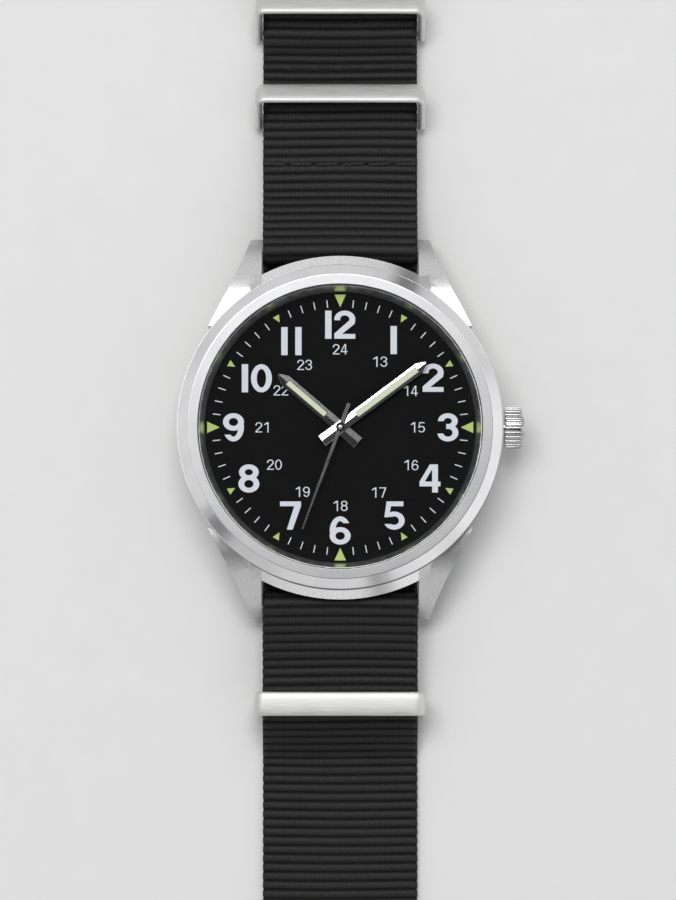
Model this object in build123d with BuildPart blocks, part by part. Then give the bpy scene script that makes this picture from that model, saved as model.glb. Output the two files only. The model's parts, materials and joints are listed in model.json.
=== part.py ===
from build123d import *
import os
from math import asin, atan2, cos, degrees, pi, radians, sin, sqrt, tan

# Field watch on a pass-through webbing strap, lying strap-down on a table.
# Origin on the table under the dial's centre, +Z out of the dial, +Y to 12 o'clock, +X to the crown.

os.makedirs("parts", exist_ok=True)

# Clearances and overruns
overrun = 1.0
slack = 0.05
running_fit = 0.04

# Strap webbing and its stack on the table
strap_width = 19.8
strap_side_gap = 0.1
webbing = 1.1
layer_gap = 0.1

# Case, from the dial's seat outwards and inwards
dial_seat_radius = 18.3
case_rim = 2.4
dial_ledge = 0.8
case_bottom_inset = 1.7
back_flange_inset = 0.4
back_flange_height = 0.45
back_plug_height = 0.75
back_to_strap = 0.12
case_height = 5.6
dial_seat_drop = 1.35
flank_taper_height = 1.6
skirt_proud = 1.15
skirt_edge_height = 0.3
skirt_top_drop = 0.35
skirt_low_drop = 1.0
skirt_sweep_angle = 66

# Lugs
lug_proud = 3.55
lug_tip_height = 0.75
lug_tip_width = 1.45
lug_root_width = 6.8
bar_from_tip = 1.55
bar_rise = 1.75
lug_hole_radius = 0.5
lug_hole_depth = 1.0

# Bezel, crystal and dial
bezel_step = 0.13
bezel_facet_width = 1.27
bezel_height = 2.15
bezel_facet_drop = 0.75
bezel_lip_gap = 0.1
bezel_lip_height = 0.45
crystal_inset = 0.38
crystal_thickness = 1.3
crystal_chamfer = 0.22
crystal_proud = 0.25
gasket_wall = 0.36
rehaut_edge = 0.07
rehaut_width = 0.72
dial_thickness = 0.4
dial_hole_radius = 0.95
print_thickness = 0.04

# Crown, stem and case tube
crown_radius = 2.6
crown_gap = 0.25
crown_length = 2.15
crown_cap_length = 0.3
crown_cap_radius = 1.5
crown_cap_draft_angle = 20
crown_flutes = 27
flute_radius = 0.2
crown_recess_radius = 1.35
crown_recess_depth = 1.55
crown_travel = 1.0
tube_radius = 1.0
tube_proud = 1.6
stem_radius = 0.4
stem_neck_radius = 0.25
stem_neck_length = 0.5
stem_neck_reach = 9.0
stem_inner_reach = 7.0
stem_slot_width = 1.3

# Case back
back_groove_depth = 0.45
back_gasket_drop = 0.18
back_plug_wall = 1.1

# Movement
plate_radius = 13.0
plate_thickness = 1.1
motion_room = 0.8
holder_room = 0.1
level_step = 0.28
wheel_thickness = 0.13
pinion_height = 0.25
arbor_radius = 0.12
pivot_depth = 0.5
pipe_radius = 0.28
pipe_bore = 0.16
cannon_radius = 0.43
hour_pipe_radius = 0.75
bridge_thickness = 0.25
bridge_margin = 1.2
pillar_radius = 0.6
screw_radius = 0.25
screw_head_radius = 0.6
screw_head_height = 0.2
magnet_radius = 0.9
magnet_height = 0.62
stator_thickness = 0.25
stator_width = 9.2
stator_near = 3.5
stator_far = 8.7
core_width = 0.8
stator_arm = 1.0
stator_web = 2.9
rotor_hole_radius = 1.05
coil_radius = 0.9
battery_radius = 3.4
battery_thickness = 2.0
battery_reach = 8.4
clip_width = 1.8
board_thickness = 0.2
board_length = 6.3
board_width = 3.0
board_centre = (-7.35, -5.3)
chip_size = 1.8
can_radius = 0.6
can_length = 4.0
can_centre = (-7.3, -8.2)
pillar_places = ((3.9, 2.6), (-7.9, 0), (3.9, -2.2))
clip_pillar_place = (5.2, -5.2)

# Gear teeth
train_module = 0.1
motion_module = 0.12
seconds_pinion_teeth = 8
third_teeth = 64
third_pinion_teeth = 8
centre_teeth = 60
rotor_pinion_teeth = 6
fifth_teeth = 36
fifth_pinion_teeth = 8
seconds_teeth = 40
cannon_teeth = 10
minute_teeth = 30
minute_pinion_teeth = 8
hour_teeth = 32
addendum_share = 0.75
dedendum_share = 1.2
tooth_half_shares = (-0.5, -0.2, 0.2, 0.5)

# Hands
hand_thickness = 0.22
hand_rim_share = 0.25
lume_height_share = 0.75
hand_step = 0.45
hour_hand_length = 10.3
hour_hand_width = 1.5
hour_hand_tail = 3.0
hour_hand_tip = 1.1
hour_lume_start = 2.4
hour_lume_end = 8.8
hour_lume_width = 0.74
minute_hand_length = 13.6
minute_hand_width = 1.4
minute_hand_tail = 2.9
minute_hand_tip = 1.1
minute_lume_start = 2.6
minute_lume_end = 12.2
minute_lume_width = 0.78
hand_tail_flare = 0.1
hand_point_width = 0.3
seconds_length = 13.8
seconds_width = 0.46
seconds_point_width = 0.2
seconds_tail = 3.2
seconds_tail_width = 0.5
seconds_hub_radius = 0.57
hour_angle = 310.5
minute_angle = 53.2
seconds_angle = 200.3

# Dial print
numeral_height = 3.58
numeral_width = 2.66
numeral_stroke = 0.74
bar_stroke = 0.81
numeral_gap = 0.36
twin_bar_gap = 0.97
small_height = 1.3
small_width = 0.86
small_stroke = 0.15
small_gap = 0.16
tick_inset = 0.93
tick_length = 0.97
tick_width = 0.12
big_triangle_inset = 0.3
big_triangle_height = 1.6
big_triangle_base = 1.45
small_triangle_inset = 0.85
small_triangle_height = 0.95
small_triangle_base = 0.88
numeral_ring_inset = 4.2
small_ring_inset = 7.4
hour_place_shares = (
    (0.523, 0.854), (0.908, 0.485), (1.052, 0), (0.877, -0.5), (0.527, -0.862), (0, -1.008),
    (-0.485, -0.862), (-0.892, -0.5), (-1.043, 0), (-0.815, 0.48), (-0.477, 0.844), (0, 1.005),
)
small_place_shares = (
    (0.514, 0.852), (0.911, 0.473), (1.002, 0), (0.918, -0.49), (0.498, -0.845), (0, -1.019),
    (-0.49, -0.837), (-0.852, -0.484), (-1.003, 0), (-0.768, 0.48), (-0.461, 0.811), (0, 1.014),
)

# Spring bars
bar_radius = 0.7
bar_end_gap = 0.3
bar_bore_radius = 0.47
pin_radius = 0.42
pin_engagement = 0.85
pin_inner_reach = 4.5
spring_coil_radius = 0.3
spring_wire_radius = 0.08
spring_wire_side_count = 12
spring_turn_count = 14

# Keepers, end ring and buckle
ring_side_gap = 0.1
ring_leg = 0.9
ring_depth = 3.05
ring_bar = 0.9
ring_rise = 5.5
ring_low_radius = 0.5
ring_foot_radius = 0.75
ring_corner = 1.3
ring_soft_edge = 0.25
keeper_lean_angle = 38.0
keeper_near_from_seam = 5.4
keeper_far_from_seam = 4.2
end_ring_from_ramp = 4.3
buckle_from_keeper = 11.2
buckle_bar_radius = 0.8
buckle_side_gap = 0.4
buckle_rod = 2.4
buckle_reach = 13.0
buckle_corner = 4.0
buckle_end_length = 1.8
buckle_soft_edge = 0.7
tang_width = 2.0
tang_wall = 0.75
tang_overhang = 1.6
tang_slot_width = 3.0
tang_slot_back = 5.0
tang_slot_front = 2.5

# Strap route along Y
ramp_run = 5.75
seam_near_from_ramp = 4.0
seam_far_from_keeper = 7.2
seam_half = 1.6
pocket_ramp = 2.0
soft_bend = 2.5
under_bend = 1.5
buckle_ramp = 3.0
fold_end = 1.8
strap_crest_room = 0.08
end_loop_seam = 6.5
end_loop_tail = 2.4
loop_ramp = 2.6
end_loop_room = 2.5
tail_drop_run = 7.7
tail_length = 153.0
tip_length = 9.0
tip_share = 0.28
hole_radius = 1.15
hole_pitch = 6.0
hole_count = 11
first_hole_from_tip = 24.0
stitch_length = 2.9
stitch_pitch = 3.35
stitch_width = 0.5
stitch_height = 0.2
stitch_count = 6

# Derived radii, out from the dial's seat
flank_radius = dial_seat_radius + case_rim
case_bore_radius = dial_seat_radius - dial_ledge
case_bottom_radius = flank_radius - case_bottom_inset
back_flange_radius = case_bottom_radius - back_flange_inset
back_groove_radius = case_bore_radius - back_groove_depth
back_dish_radius = case_bore_radius - back_plug_wall
skirt_radius = flank_radius + skirt_proud
lug_reach = flank_radius + lug_proud
bar_reach = lug_reach - bar_from_tip
bezel_radius = flank_radius - bezel_step
bezel_facet_radius = bezel_radius - bezel_facet_width
crystal_radius = dial_seat_radius - crystal_inset
bezel_lip_radius = crystal_radius + bezel_lip_gap
gasket_radius = crystal_radius + gasket_wall
rehaut_top_radius = crystal_radius - rehaut_edge
rehaut_foot_radius = crystal_radius - rehaut_width
tick_outer = rehaut_foot_radius - tick_inset
big_triangle_radius = rehaut_foot_radius - big_triangle_inset
small_triangle_radius = rehaut_foot_radius - small_triangle_inset
numeral_ring = rehaut_foot_radius - numeral_ring_inset
small_ring = rehaut_foot_radius - small_ring_inset

# Derived widths across the strap
lug_gap = strap_width + 2 * strap_side_gap
bar_half_length = lug_gap / 2 - bar_end_gap
pin_reach = lug_gap / 2 + pin_engagement
ring_window = strap_width + 2 * ring_side_gap
ring_width = ring_window + 2 * ring_leg
buckle_window = strap_width + 2 * buckle_side_gap
buckle_width = buckle_window + 2 * buckle_rod

# Derived places along the strap, out from the lugs
ramp_reach = lug_reach + ramp_run
seam_near_y = ramp_reach + seam_near_from_ramp
keeper_near_y = seam_near_y + keeper_near_from_seam
seam_far_y = keeper_near_y + seam_far_from_keeper
keeper_far_y = seam_far_y + keeper_far_from_seam
buckle_y = keeper_far_y + buckle_from_keeper
end_ring_y = -ramp_reach - end_ring_from_ramp
tail_down_y = end_ring_y - tail_drop_run
tail_tip_y = tail_down_y - tail_length

# Derived levels, from the table up
strap_low = webbing + layer_gap
strap_high = strap_low + webbing
back_z = strap_high + back_to_strap
case_z = back_z + back_flange_height
case_top = case_z + case_height
dial_seat_z = case_top - dial_seat_drop
dial_top = dial_seat_z + dial_thickness
bezel_top = case_top + bezel_height
crystal_top = bezel_top + crystal_proud
crystal_low = crystal_top - crystal_thickness
bar_z = case_z + bar_rise
plate_top = dial_seat_z - motion_room
plate_low = plate_top - plate_thickness
stem_z = plate_low + plate_thickness / 2
holder_low = case_z + back_plug_height + holder_room
level_centre = plate_low - level_step
level_third = level_centre - level_step
level_seconds = level_third - level_step
level_fifth = level_seconds - level_step
bridge_top = level_fifth - (level_step - wheel_thickness) / 2
bridge_low = bridge_top - bridge_thickness
hour_hand_z = dial_top + hand_step
minute_hand_z = hour_hand_z + hand_step
seconds_hand_z = minute_hand_z + hand_step


def save(name, shape):
    shape.label = name
    export_step(shape, "parts/" + name + ".step")


def ring_turned(inner, outer, low, high):
    """A plain turned ring or, with no inner radius, a disc, between two heights."""
    with BuildPart() as turned:
        with BuildSketch(Plane.XY.offset(low)):
            Circle(outer)
            if inner > 0:
                Circle(inner, mode=Mode.SUBTRACT)
        extrude(amount=high - low)
    return turned.part


# Middle case: a turned ring with four curved lugs and a polished skirt between them
inner_lug_face = lug_gap / 2
flank_top_share = 0.62
lug_waist_share = 0.36
lug_top_shares = ((0.55, 1.0), (0.70, 0.93), (0.85, 0.66))

with BuildPart() as case_middle:
    with BuildSketch(Plane.XY.offset(case_z)):
        with BuildLine():
            root = (inner_lug_face + lug_root_width, flank_radius * flank_top_share)
            waist = (
                inner_lug_face + lug_root_width * lug_waist_share + lug_tip_width / 2,
                lug_reach - (lug_reach - root[1]) * (1 - flank_top_share),
            )
            tip = (inner_lug_face + lug_tip_width, lug_reach)
            Spline(
                root,
                waist,
                tip,
                tangents=[(-0.55, 1), (-0.3, 1)],
            )
            Line(tip, (inner_lug_face, lug_reach))
            Line((inner_lug_face, lug_reach), (inner_lug_face, flank_radius * flank_top_share))
            Line((inner_lug_face, flank_radius * flank_top_share), root)
        make_face()
    extrude(amount=case_height)
    with BuildSketch(Plane.YZ):
        with BuildLine():
            top_points = [
                (lug_reach * along, case_z + case_height * up) for along, up in lug_top_shares
            ]
            lug_nose = (lug_reach, case_z + lug_tip_height)
            Line((0, case_z), (0, case_top))
            Line((0, case_top), top_points[0])
            Spline(*top_points, lug_nose, tangents=[(1, 0), (0.6, -1)])
            Line(lug_nose, (lug_reach, case_z))
            Line((lug_reach, case_z), (0, case_z))
        make_face()
    extrude(amount=flank_radius + overrun, both=True, mode=Mode.INTERSECT)
    mirror(about=Plane.XZ)
    mirror(about=Plane.YZ)
    with BuildSketch(Plane.XZ):
        with BuildLine():
            Polyline(
                (0, case_z),
                (case_bottom_radius, case_z),
                (flank_radius, case_z + flank_taper_height),
                (flank_radius, case_top),
                (0, case_top),
                close=True,
            )
        make_face()
    revolve(axis=Axis.Z)
    skirt_plane = Plane(
        origin=(0, 0, 0),
        x_dir=(sin(radians(skirt_sweep_angle / 2)), cos(radians(skirt_sweep_angle / 2)), 0),
        z_dir=(cos(radians(skirt_sweep_angle / 2)), -sin(radians(skirt_sweep_angle / 2)), 0),
    )
    with BuildSketch(skirt_plane):
        with BuildLine():
            Polyline(
                (flank_radius - overrun, case_top - skirt_low_drop - skirt_edge_height - overrun),
                (flank_radius, case_top - skirt_low_drop - skirt_edge_height - overrun / 2),
                (skirt_radius, case_top - skirt_low_drop - skirt_edge_height),
                (skirt_radius, case_top - skirt_low_drop),
                (flank_radius, case_top - skirt_top_drop),
                (flank_radius - overrun, case_top - skirt_top_drop),
                close=True,
            )
        make_face()
    revolve(axis=Axis.Z, revolution_arc=skirt_sweep_angle)
    mirror(about=Plane.XZ)
    with BuildSketch(Plane.XY.offset(case_z)):
        Circle(case_bore_radius)
    extrude(amount=case_height, mode=Mode.SUBTRACT)
    with BuildSketch(Plane.XY.offset(dial_seat_z)):
        Circle(dial_seat_radius)
    extrude(amount=case_height, mode=Mode.SUBTRACT)
    with Locations((0, bar_reach, bar_z), (0, -bar_reach, bar_z)):
        Cylinder(
            lug_hole_radius,
            2 * (inner_lug_face + lug_hole_depth),
            rotation=(0, 90, 0),
            mode=Mode.SUBTRACT,
        )
    with Locations((flank_radius, 0, stem_z)):
        Cylinder(
            tube_radius, 2 * (case_rim + dial_ledge + overrun), rotation=(0, 90, 0), mode=Mode.SUBTRACT
        )
save("case_middle", case_middle.part)

# Bezel with a flat inner ring and a sloping outer facet, over an L of gasket
with BuildPart() as bezel:
    with BuildSketch(Plane.XZ):
        with BuildLine():
            Polyline(
                (gasket_radius + slack, case_top),
                (bezel_radius, case_top),
                (bezel_radius, bezel_top - bezel_facet_drop),
                (bezel_facet_radius, bezel_top),
                (bezel_lip_radius, bezel_top),
                (bezel_lip_radius, bezel_top - bezel_lip_height),
                (gasket_radius + slack, bezel_top - bezel_lip_height),
                close=True,
            )
        make_face()
    revolve(axis=Axis.Z)
save("bezel", bezel.part)

gasket_low = crystal_low
gasket_top = bezel_top - bezel_lip_height
save("crystal_gasket", ring_turned(crystal_radius + slack / 2, gasket_radius, gasket_low, gasket_top))

with BuildPart() as crystal:
    with BuildSketch(Plane.XY.offset(crystal_low)):
        Circle(crystal_radius)
    extrude(amount=crystal_thickness)
    chamfer(crystal.faces().sort_by(Axis.Z)[-1].edges(), length=crystal_chamfer)
save("crystal", crystal.part)

# Polished ring that slopes from the crystal down to the dial
with BuildPart() as rehaut:
    with BuildSketch(Plane.XZ):
        with BuildLine():
            Polyline(
                (rehaut_foot_radius, dial_top),
                (dial_seat_radius - slack, dial_top),
                (dial_seat_radius - slack, crystal_low),
                (rehaut_top_radius, crystal_low),
                close=True,
            )
        make_face()
    revolve(axis=Axis.Z)
save("inner_ring", rehaut.part)

save("dial", ring_turned(dial_hole_radius, dial_seat_radius - slack, dial_seat_z, dial_top))

# Snap-on case back with its plug, shallow dish and gasket groove
with BuildPart() as case_back:
    with BuildSketch(Plane.XZ):
        with BuildLine():
            Polyline(
                (0, back_z),
                (back_flange_radius - back_flange_height, back_z),
                (back_flange_radius, case_z),
                (case_bore_radius - slack, case_z),
                (case_bore_radius - slack, case_z + back_gasket_drop),
                (back_groove_radius, case_z + back_gasket_drop),
                (back_groove_radius, case_z + back_plug_height - back_gasket_drop),
                (case_bore_radius - slack, case_z + back_plug_height - back_gasket_drop),
                (case_bore_radius - slack, case_z + back_plug_height),
                (back_dish_radius, case_z + back_plug_height),
                (back_dish_radius, case_z),
                (0, case_z),
                close=True,
            )
        make_face()
    revolve(axis=Axis.Z)
save("case_back", case_back.part)
save(
    "case_back_gasket",
    ring_turned(
        back_groove_radius + slack,
        case_bore_radius - slack,
        case_z + back_gasket_drop + slack,
        case_z + back_plug_height - back_gasket_drop - slack,
    ),
)

# Movement holder with a slot for the stem
with BuildPart() as movement_holder:
    with BuildSketch(Plane.XY.offset(holder_low)):
        Circle(case_bore_radius - slack)
        Circle(plate_radius + slack, mode=Mode.SUBTRACT)
    extrude(amount=dial_seat_z - holder_low)
    with Locations((case_bore_radius, 0, stem_z)):
        Box(
            2 * (case_bore_radius - plate_radius + overrun),
            stem_slot_width,
            stem_slot_width,
            mode=Mode.SUBTRACT,
        )
save("movement_holder", movement_holder.part)


def gear_sketch(teeth, module, tooth_angle=0.0):
    """A gear's outline with straight-sided teeth and backlash, one tooth at the given angle."""
    pitch = module * teeth / 2
    outer = pitch + module * addendum_share
    root = pitch - module * dedendum_share
    half = pi / teeth
    points = []
    for tooth in range(teeth):
        middle = radians(tooth_angle) + 2 * half * tooth
        for radius, share in zip((root, outer, outer, root), tooth_half_shares):
            angle = middle + half * share
            points.append((radius * cos(angle), radius * sin(angle)))
    Polygon(*points, align=None)


def wheel(name, centre, arbor_radius, low, high, gears, bore=0.0):
    """An arbor between two heights with its gears: teeth, module, tooth angle, low, thickness."""
    with BuildPart() as turned:
        with BuildSketch(Plane.XY.offset(low)):
            with Locations(centre):
                Circle(arbor_radius)
        extrude(amount=high - low)
        for teeth, module, tooth_angle, gear_low, thickness in gears:
            with BuildSketch(Plane.XY.offset(gear_low)):
                with Locations(centre):
                    gear_sketch(teeth, module, tooth_angle)
            extrude(amount=thickness)
        if bore > 0:
            with BuildSketch(Plane.XY.offset(low - overrun)):
                with Locations(centre):
                    Circle(bore)
            extrude(amount=high - low + 2 * overrun, mode=Mode.SUBTRACT)
    save(name, turned.part)
    return turned.part


# Gear train: rotor, fifth wheel, seconds wheel, third wheel, centre wheel, motion work
third_at = (-(seconds_pinion_teeth + third_teeth) * train_module / 2, 0)
fifth_at = (0, (fifth_pinion_teeth + seconds_teeth) * train_module / 2)
rotor_at = (0, fifth_at[1] + (rotor_pinion_teeth + fifth_teeth) * train_module / 2)
minute_wheel_at = (0, -(cannon_teeth + minute_teeth) * motion_module / 2)
centre_module = -2 * third_at[0] / (third_pinion_teeth + centre_teeth)
toward_plus_y = 90
full_turn = 360


def gap_angle(teeth, direction):
    """Tooth angle that turns a gap, not a tooth, to the given direction."""
    return direction + full_turn / (2 * teeth)


pinion_drop = (pinion_height - wheel_thickness) / 2
arbor_top = plate_low + pivot_depth

wheel("fifth_wheel", fifth_at, arbor_radius, bridge_low, arbor_top, [
    (fifth_teeth, train_module, gap_angle(fifth_teeth, toward_plus_y), level_fifth, wheel_thickness),
    (fifth_pinion_teeth, train_module, -toward_plus_y, level_seconds - pinion_drop, pinion_height),
])
wheel("third_wheel", third_at, arbor_radius, bridge_low, arbor_top, [
    (third_teeth, train_module, gap_angle(third_teeth, 0), level_third, wheel_thickness),
    (third_pinion_teeth, centre_module, 0, level_centre - pinion_drop, pinion_height),
])
wheel("seconds_wheel", (0, 0), arbor_radius, bridge_low, seconds_hand_z + hand_thickness / 2, [
    (
        seconds_teeth,
        train_module,
        gap_angle(seconds_teeth, toward_plus_y),
        level_seconds,
        wheel_thickness,
    ),
    (seconds_pinion_teeth, train_module, 2 * toward_plus_y, level_third - pinion_drop, pinion_height),
])
wheel(
    "centre_wheel",
    (0, 0),
    pipe_radius,
    level_centre,
    minute_hand_z + hand_thickness,
    [
        (
            centre_teeth,
            centre_module,
            gap_angle(centre_teeth, 2 * toward_plus_y),
            level_centre,
            wheel_thickness,
        )
    ],
    bore=pipe_bore,
)
wheel(
    "cannon_pinion",
    (0, 0),
    cannon_radius,
    plate_top + slack,
    minute_hand_z,
    [(cannon_teeth, motion_module, -toward_plus_y, plate_top + slack, pinion_height)],
    bore=pipe_radius + running_fit / 2,
)
minute_gear_z = plate_top + slack + pinion_drop
hour_gear_z = plate_top + slack + pinion_height + slack
wheel("minute_wheel", minute_wheel_at, arbor_radius, plate_top - pivot_depth, dial_seat_z - slack, [
    (
        minute_teeth,
        motion_module,
        gap_angle(minute_teeth, toward_plus_y),
        minute_gear_z,
        wheel_thickness,
    ),
    (
        minute_pinion_teeth,
        motion_module,
        toward_plus_y,
        minute_gear_z + wheel_thickness,
        hour_gear_z - minute_gear_z + slack,
    ),
])
wheel(
    "hour_wheel",
    (0, 0),
    hour_pipe_radius,
    hour_gear_z,
    hour_hand_z,
    [
        (
            hour_teeth,
            motion_module,
            gap_angle(hour_teeth, -toward_plus_y),
            hour_gear_z,
            wheel_thickness,
        )
    ],
    bore=cannon_radius + running_fit,
)

# Step motor: rotor with its magnet, stator and coil
with BuildPart() as rotor:
    with BuildSketch(Plane.XY.offset(bridge_low)):
        with Locations(rotor_at):
            Circle(arbor_radius)
    extrude(amount=arbor_top - bridge_low)
    with BuildSketch(Plane.XY.offset(level_fifth - pinion_drop)):
        with Locations(rotor_at):
            gear_sketch(rotor_pinion_teeth, train_module, -toward_plus_y)
    extrude(amount=pinion_height)
    with BuildSketch(Plane.XY.offset(level_seconds)):
        with Locations(rotor_at):
            Circle(magnet_radius)
    extrude(amount=magnet_height)
save("rotor", rotor.part)

stator_z = level_third - pinion_drop
core_y = stator_far - core_width / 2
with BuildPart() as stator:
    with BuildSketch(Plane.XY.offset(stator_z)):
        with BuildLine():
            Polyline(
                (-stator_width / 2, stator_near),
                (stator_width / 2, stator_near),
                (stator_width / 2, stator_far),
                (-stator_width / 2, stator_far),
                close=True,
            )
        make_face()
        with BuildLine():
            Polyline(
                (-stator_width / 2 + stator_arm, stator_near + stator_web),
                (stator_width / 2 - stator_arm, stator_near + stator_web),
                (stator_width / 2 - stator_arm, stator_far - core_width),
                (-stator_width / 2 + stator_arm, stator_far - core_width),
                close=True,
            )
        make_face(mode=Mode.SUBTRACT)
        with Locations(rotor_at):
            Circle(rotor_hole_radius, mode=Mode.SUBTRACT)
    extrude(amount=stator_thickness)
save("stator", stator.part)

coil_centre = Vector(0, core_y, stator_z + stator_thickness / 2)
coil_length = stator_width - 2 * stator_arm - 2 * slack
with BuildPart() as coil:
    with BuildSketch(Plane(origin=coil_centre - Vector(coil_length / 2, 0, 0), z_dir=(1, 0, 0))):
        Circle(coil_radius)
    extrude(amount=coil_length)
    with Locations(coil_centre):
        Box(
            coil_length + 2 * overrun,
            core_width + 2 * slack,
            stator_thickness + 2 * slack,
            mode=Mode.SUBTRACT,
        )
save("coil", coil.part)

# Main plate with arbor holes, pockets, stem channel and pillars
battery_at = (0, -battery_reach)
battery_z = bridge_top + slack
with BuildPart() as main_plate:
    with BuildSketch(Plane.XY.offset(plate_low)):
        Circle(plate_radius)
    extrude(amount=plate_thickness)
    with BuildSketch(Plane.XY.offset(bridge_top)):
        with Locations(*pillar_places, clip_pillar_place):
            Circle(pillar_radius)
    extrude(amount=plate_low - bridge_top)
    with BuildSketch(Plane.XY.offset(bridge_top)):
        with Locations(*pillar_places, clip_pillar_place):
            Circle(screw_radius + running_fit)
    extrude(amount=plate_low - bridge_top + plate_thickness / 2, mode=Mode.SUBTRACT)
    with BuildSketch(Plane.XY.offset(plate_low)):
        with Locations(third_at, fifth_at, rotor_at):
            Circle(arbor_radius + running_fit)
        with Locations(battery_at):
            Circle(battery_radius + slack)
    extrude(amount=plate_thickness, mode=Mode.SUBTRACT)
    with BuildSketch(Plane.XY.offset(plate_low - overrun)):
        Circle(pipe_radius + running_fit)
        with Locations(minute_wheel_at):
            Circle(arbor_radius + running_fit)
    extrude(amount=plate_thickness + 2 * overrun, mode=Mode.SUBTRACT)
    with Locations(coil_centre):
        Box(
            coil_length + 2 * stator_arm,
            2 * coil_radius + 2 * slack,
            2 * (coil_radius + slack),
            mode=Mode.SUBTRACT,
        )
    channel = plate_radius + overrun - stem_inner_reach + crown_travel
    with Locations((stem_inner_reach - crown_travel / 2 + channel / 2, 0, stem_z)):
        Box(channel, stem_slot_width, plate_thickness - 2 * slack, mode=Mode.SUBTRACT)
save("main_plate", main_plate.part)

with BuildPart() as train_bridge:
    with BuildSketch(Plane.XY.offset(bridge_low)):
        with Locations(*pillar_places, rotor_at):
            Circle(bridge_margin)
        make_hull()
        with Locations(*pillar_places):
            Circle(screw_radius + running_fit, mode=Mode.SUBTRACT)
        with Locations(third_at, (0, 0), fifth_at, rotor_at):
            Circle(arbor_radius + running_fit, mode=Mode.SUBTRACT)
    extrude(amount=bridge_thickness)
save("train_bridge", train_bridge.part)

with BuildPart() as bridge_screws:
    with BuildSketch(Plane.XY.offset(bridge_low - screw_head_height)):
        with Locations(*pillar_places, clip_pillar_place):
            Circle(screw_head_radius)
    extrude(amount=screw_head_height)
    with BuildSketch(Plane.XY.offset(bridge_low)):
        with Locations(*pillar_places, clip_pillar_place):
            Circle(screw_radius)
    extrude(amount=plate_low - bridge_low)
save("movement_screws", bridge_screws.part)

with BuildPart() as battery:
    with BuildSketch(Plane.XY.offset(battery_z)):
        with Locations(battery_at):
            Circle(battery_radius)
    extrude(amount=battery_thickness)
    fillet(battery.faces().sort_by(Axis.Z)[-1].edges(), radius=board_thickness)
save("battery", battery.part)

# Spring strap that holds the cell down, screwed to its own pillar
clip_end = Vector(*battery_at)
clip_start = Vector(*clip_pillar_place)
clip_run = (clip_end - clip_start).length
clip_angle = degrees(atan2(clip_end.Y - clip_start.Y, clip_end.X - clip_start.X))
with BuildPart() as battery_clip:
    with BuildSketch(Plane.XY.offset(bridge_low)):
        with Locations((clip_start + clip_end) / 2):
            SlotCenterToCenter(clip_run, clip_width, rotation=clip_angle)
        with Locations(clip_pillar_place):
            Circle(screw_radius + running_fit, mode=Mode.SUBTRACT)
    extrude(amount=bridge_thickness)
save("battery_clip", battery_clip.part)

# Circuit board with its chip, and the quartz can beside it
with BuildPart() as circuit_board:
    with Locations((board_centre[0], board_centre[1], battery_z + board_thickness / 2)):
        Box(board_length, board_width, board_thickness)
    with Locations((board_centre[0], board_centre[1], battery_z + board_thickness * 3 / 2)):
        Box(chip_size, chip_size, board_thickness)
save("circuit_board", circuit_board.part)

with BuildPart() as quartz_can:
    can_start = (can_centre[0] - can_length / 2, can_centre[1], plate_low - can_radius)
    with BuildSketch(Plane(origin=can_start, z_dir=(1, 0, 0))):
        Circle(can_radius)
    extrude(amount=can_length)
    fillet(quartz_can.faces().sort_by(Axis.X)[0].edges(), radius=can_radius / 2)
save("quartz_can", quartz_can.part)

# Crown, stem, sealing tube and the fork that holds the stem's neck
crown_x = flank_radius + crown_gap
crown_end = crown_x + crown_length
tube_end = crown_x - crown_gap + tube_proud
with BuildPart() as crown_tube:
    with BuildSketch(Plane(origin=(case_bore_radius + slack, 0, stem_z), z_dir=(1, 0, 0))):
        Circle(tube_radius - slack / 2)
        Circle(stem_radius + slack, mode=Mode.SUBTRACT)
    extrude(amount=tube_end - case_bore_radius - slack)
save("crown_tube", crown_tube.part)

stem_end = crown_end - crown_cap_length
with BuildPart() as stem:
    with BuildSketch(Plane(origin=(stem_inner_reach, 0, stem_z), z_dir=(1, 0, 0))):
        Circle(stem_radius)
    extrude(amount=stem_end - stem_inner_reach)
    with BuildSketch(Plane(origin=(stem_neck_reach, 0, stem_z), z_dir=(1, 0, 0))):
        Circle(stem_radius + overrun)
        Circle(stem_neck_radius, mode=Mode.SUBTRACT)
    extrude(amount=stem_neck_length, mode=Mode.SUBTRACT)
save("stem", stem.part)

fork_thickness = stem_neck_length - 2 * slack
fork_low = plate_low + 2 * slack
fork_high = stem_z + stem_radius
with BuildPart() as stem_fork:
    with Locations((stem_neck_reach + stem_neck_length / 2, 0, (fork_low + fork_high) / 2)):
        Box(fork_thickness, stem_slot_width - 2 * slack, fork_high - fork_low)
    with Locations((stem_neck_reach + stem_neck_length / 2, 0, stem_z)):
        Cylinder(
            stem_neck_radius + running_fit, stem_slot_width, rotation=(0, 90, 0), mode=Mode.SUBTRACT
        )
    with Locations((stem_neck_reach + stem_neck_length / 2, 0, stem_z + stem_radius)):
        Box(
            stem_slot_width,
            2 * (stem_neck_radius + running_fit),
            2 * stem_radius,
            mode=Mode.SUBTRACT,
        )
save("stem_fork", stem_fork.part)

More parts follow.
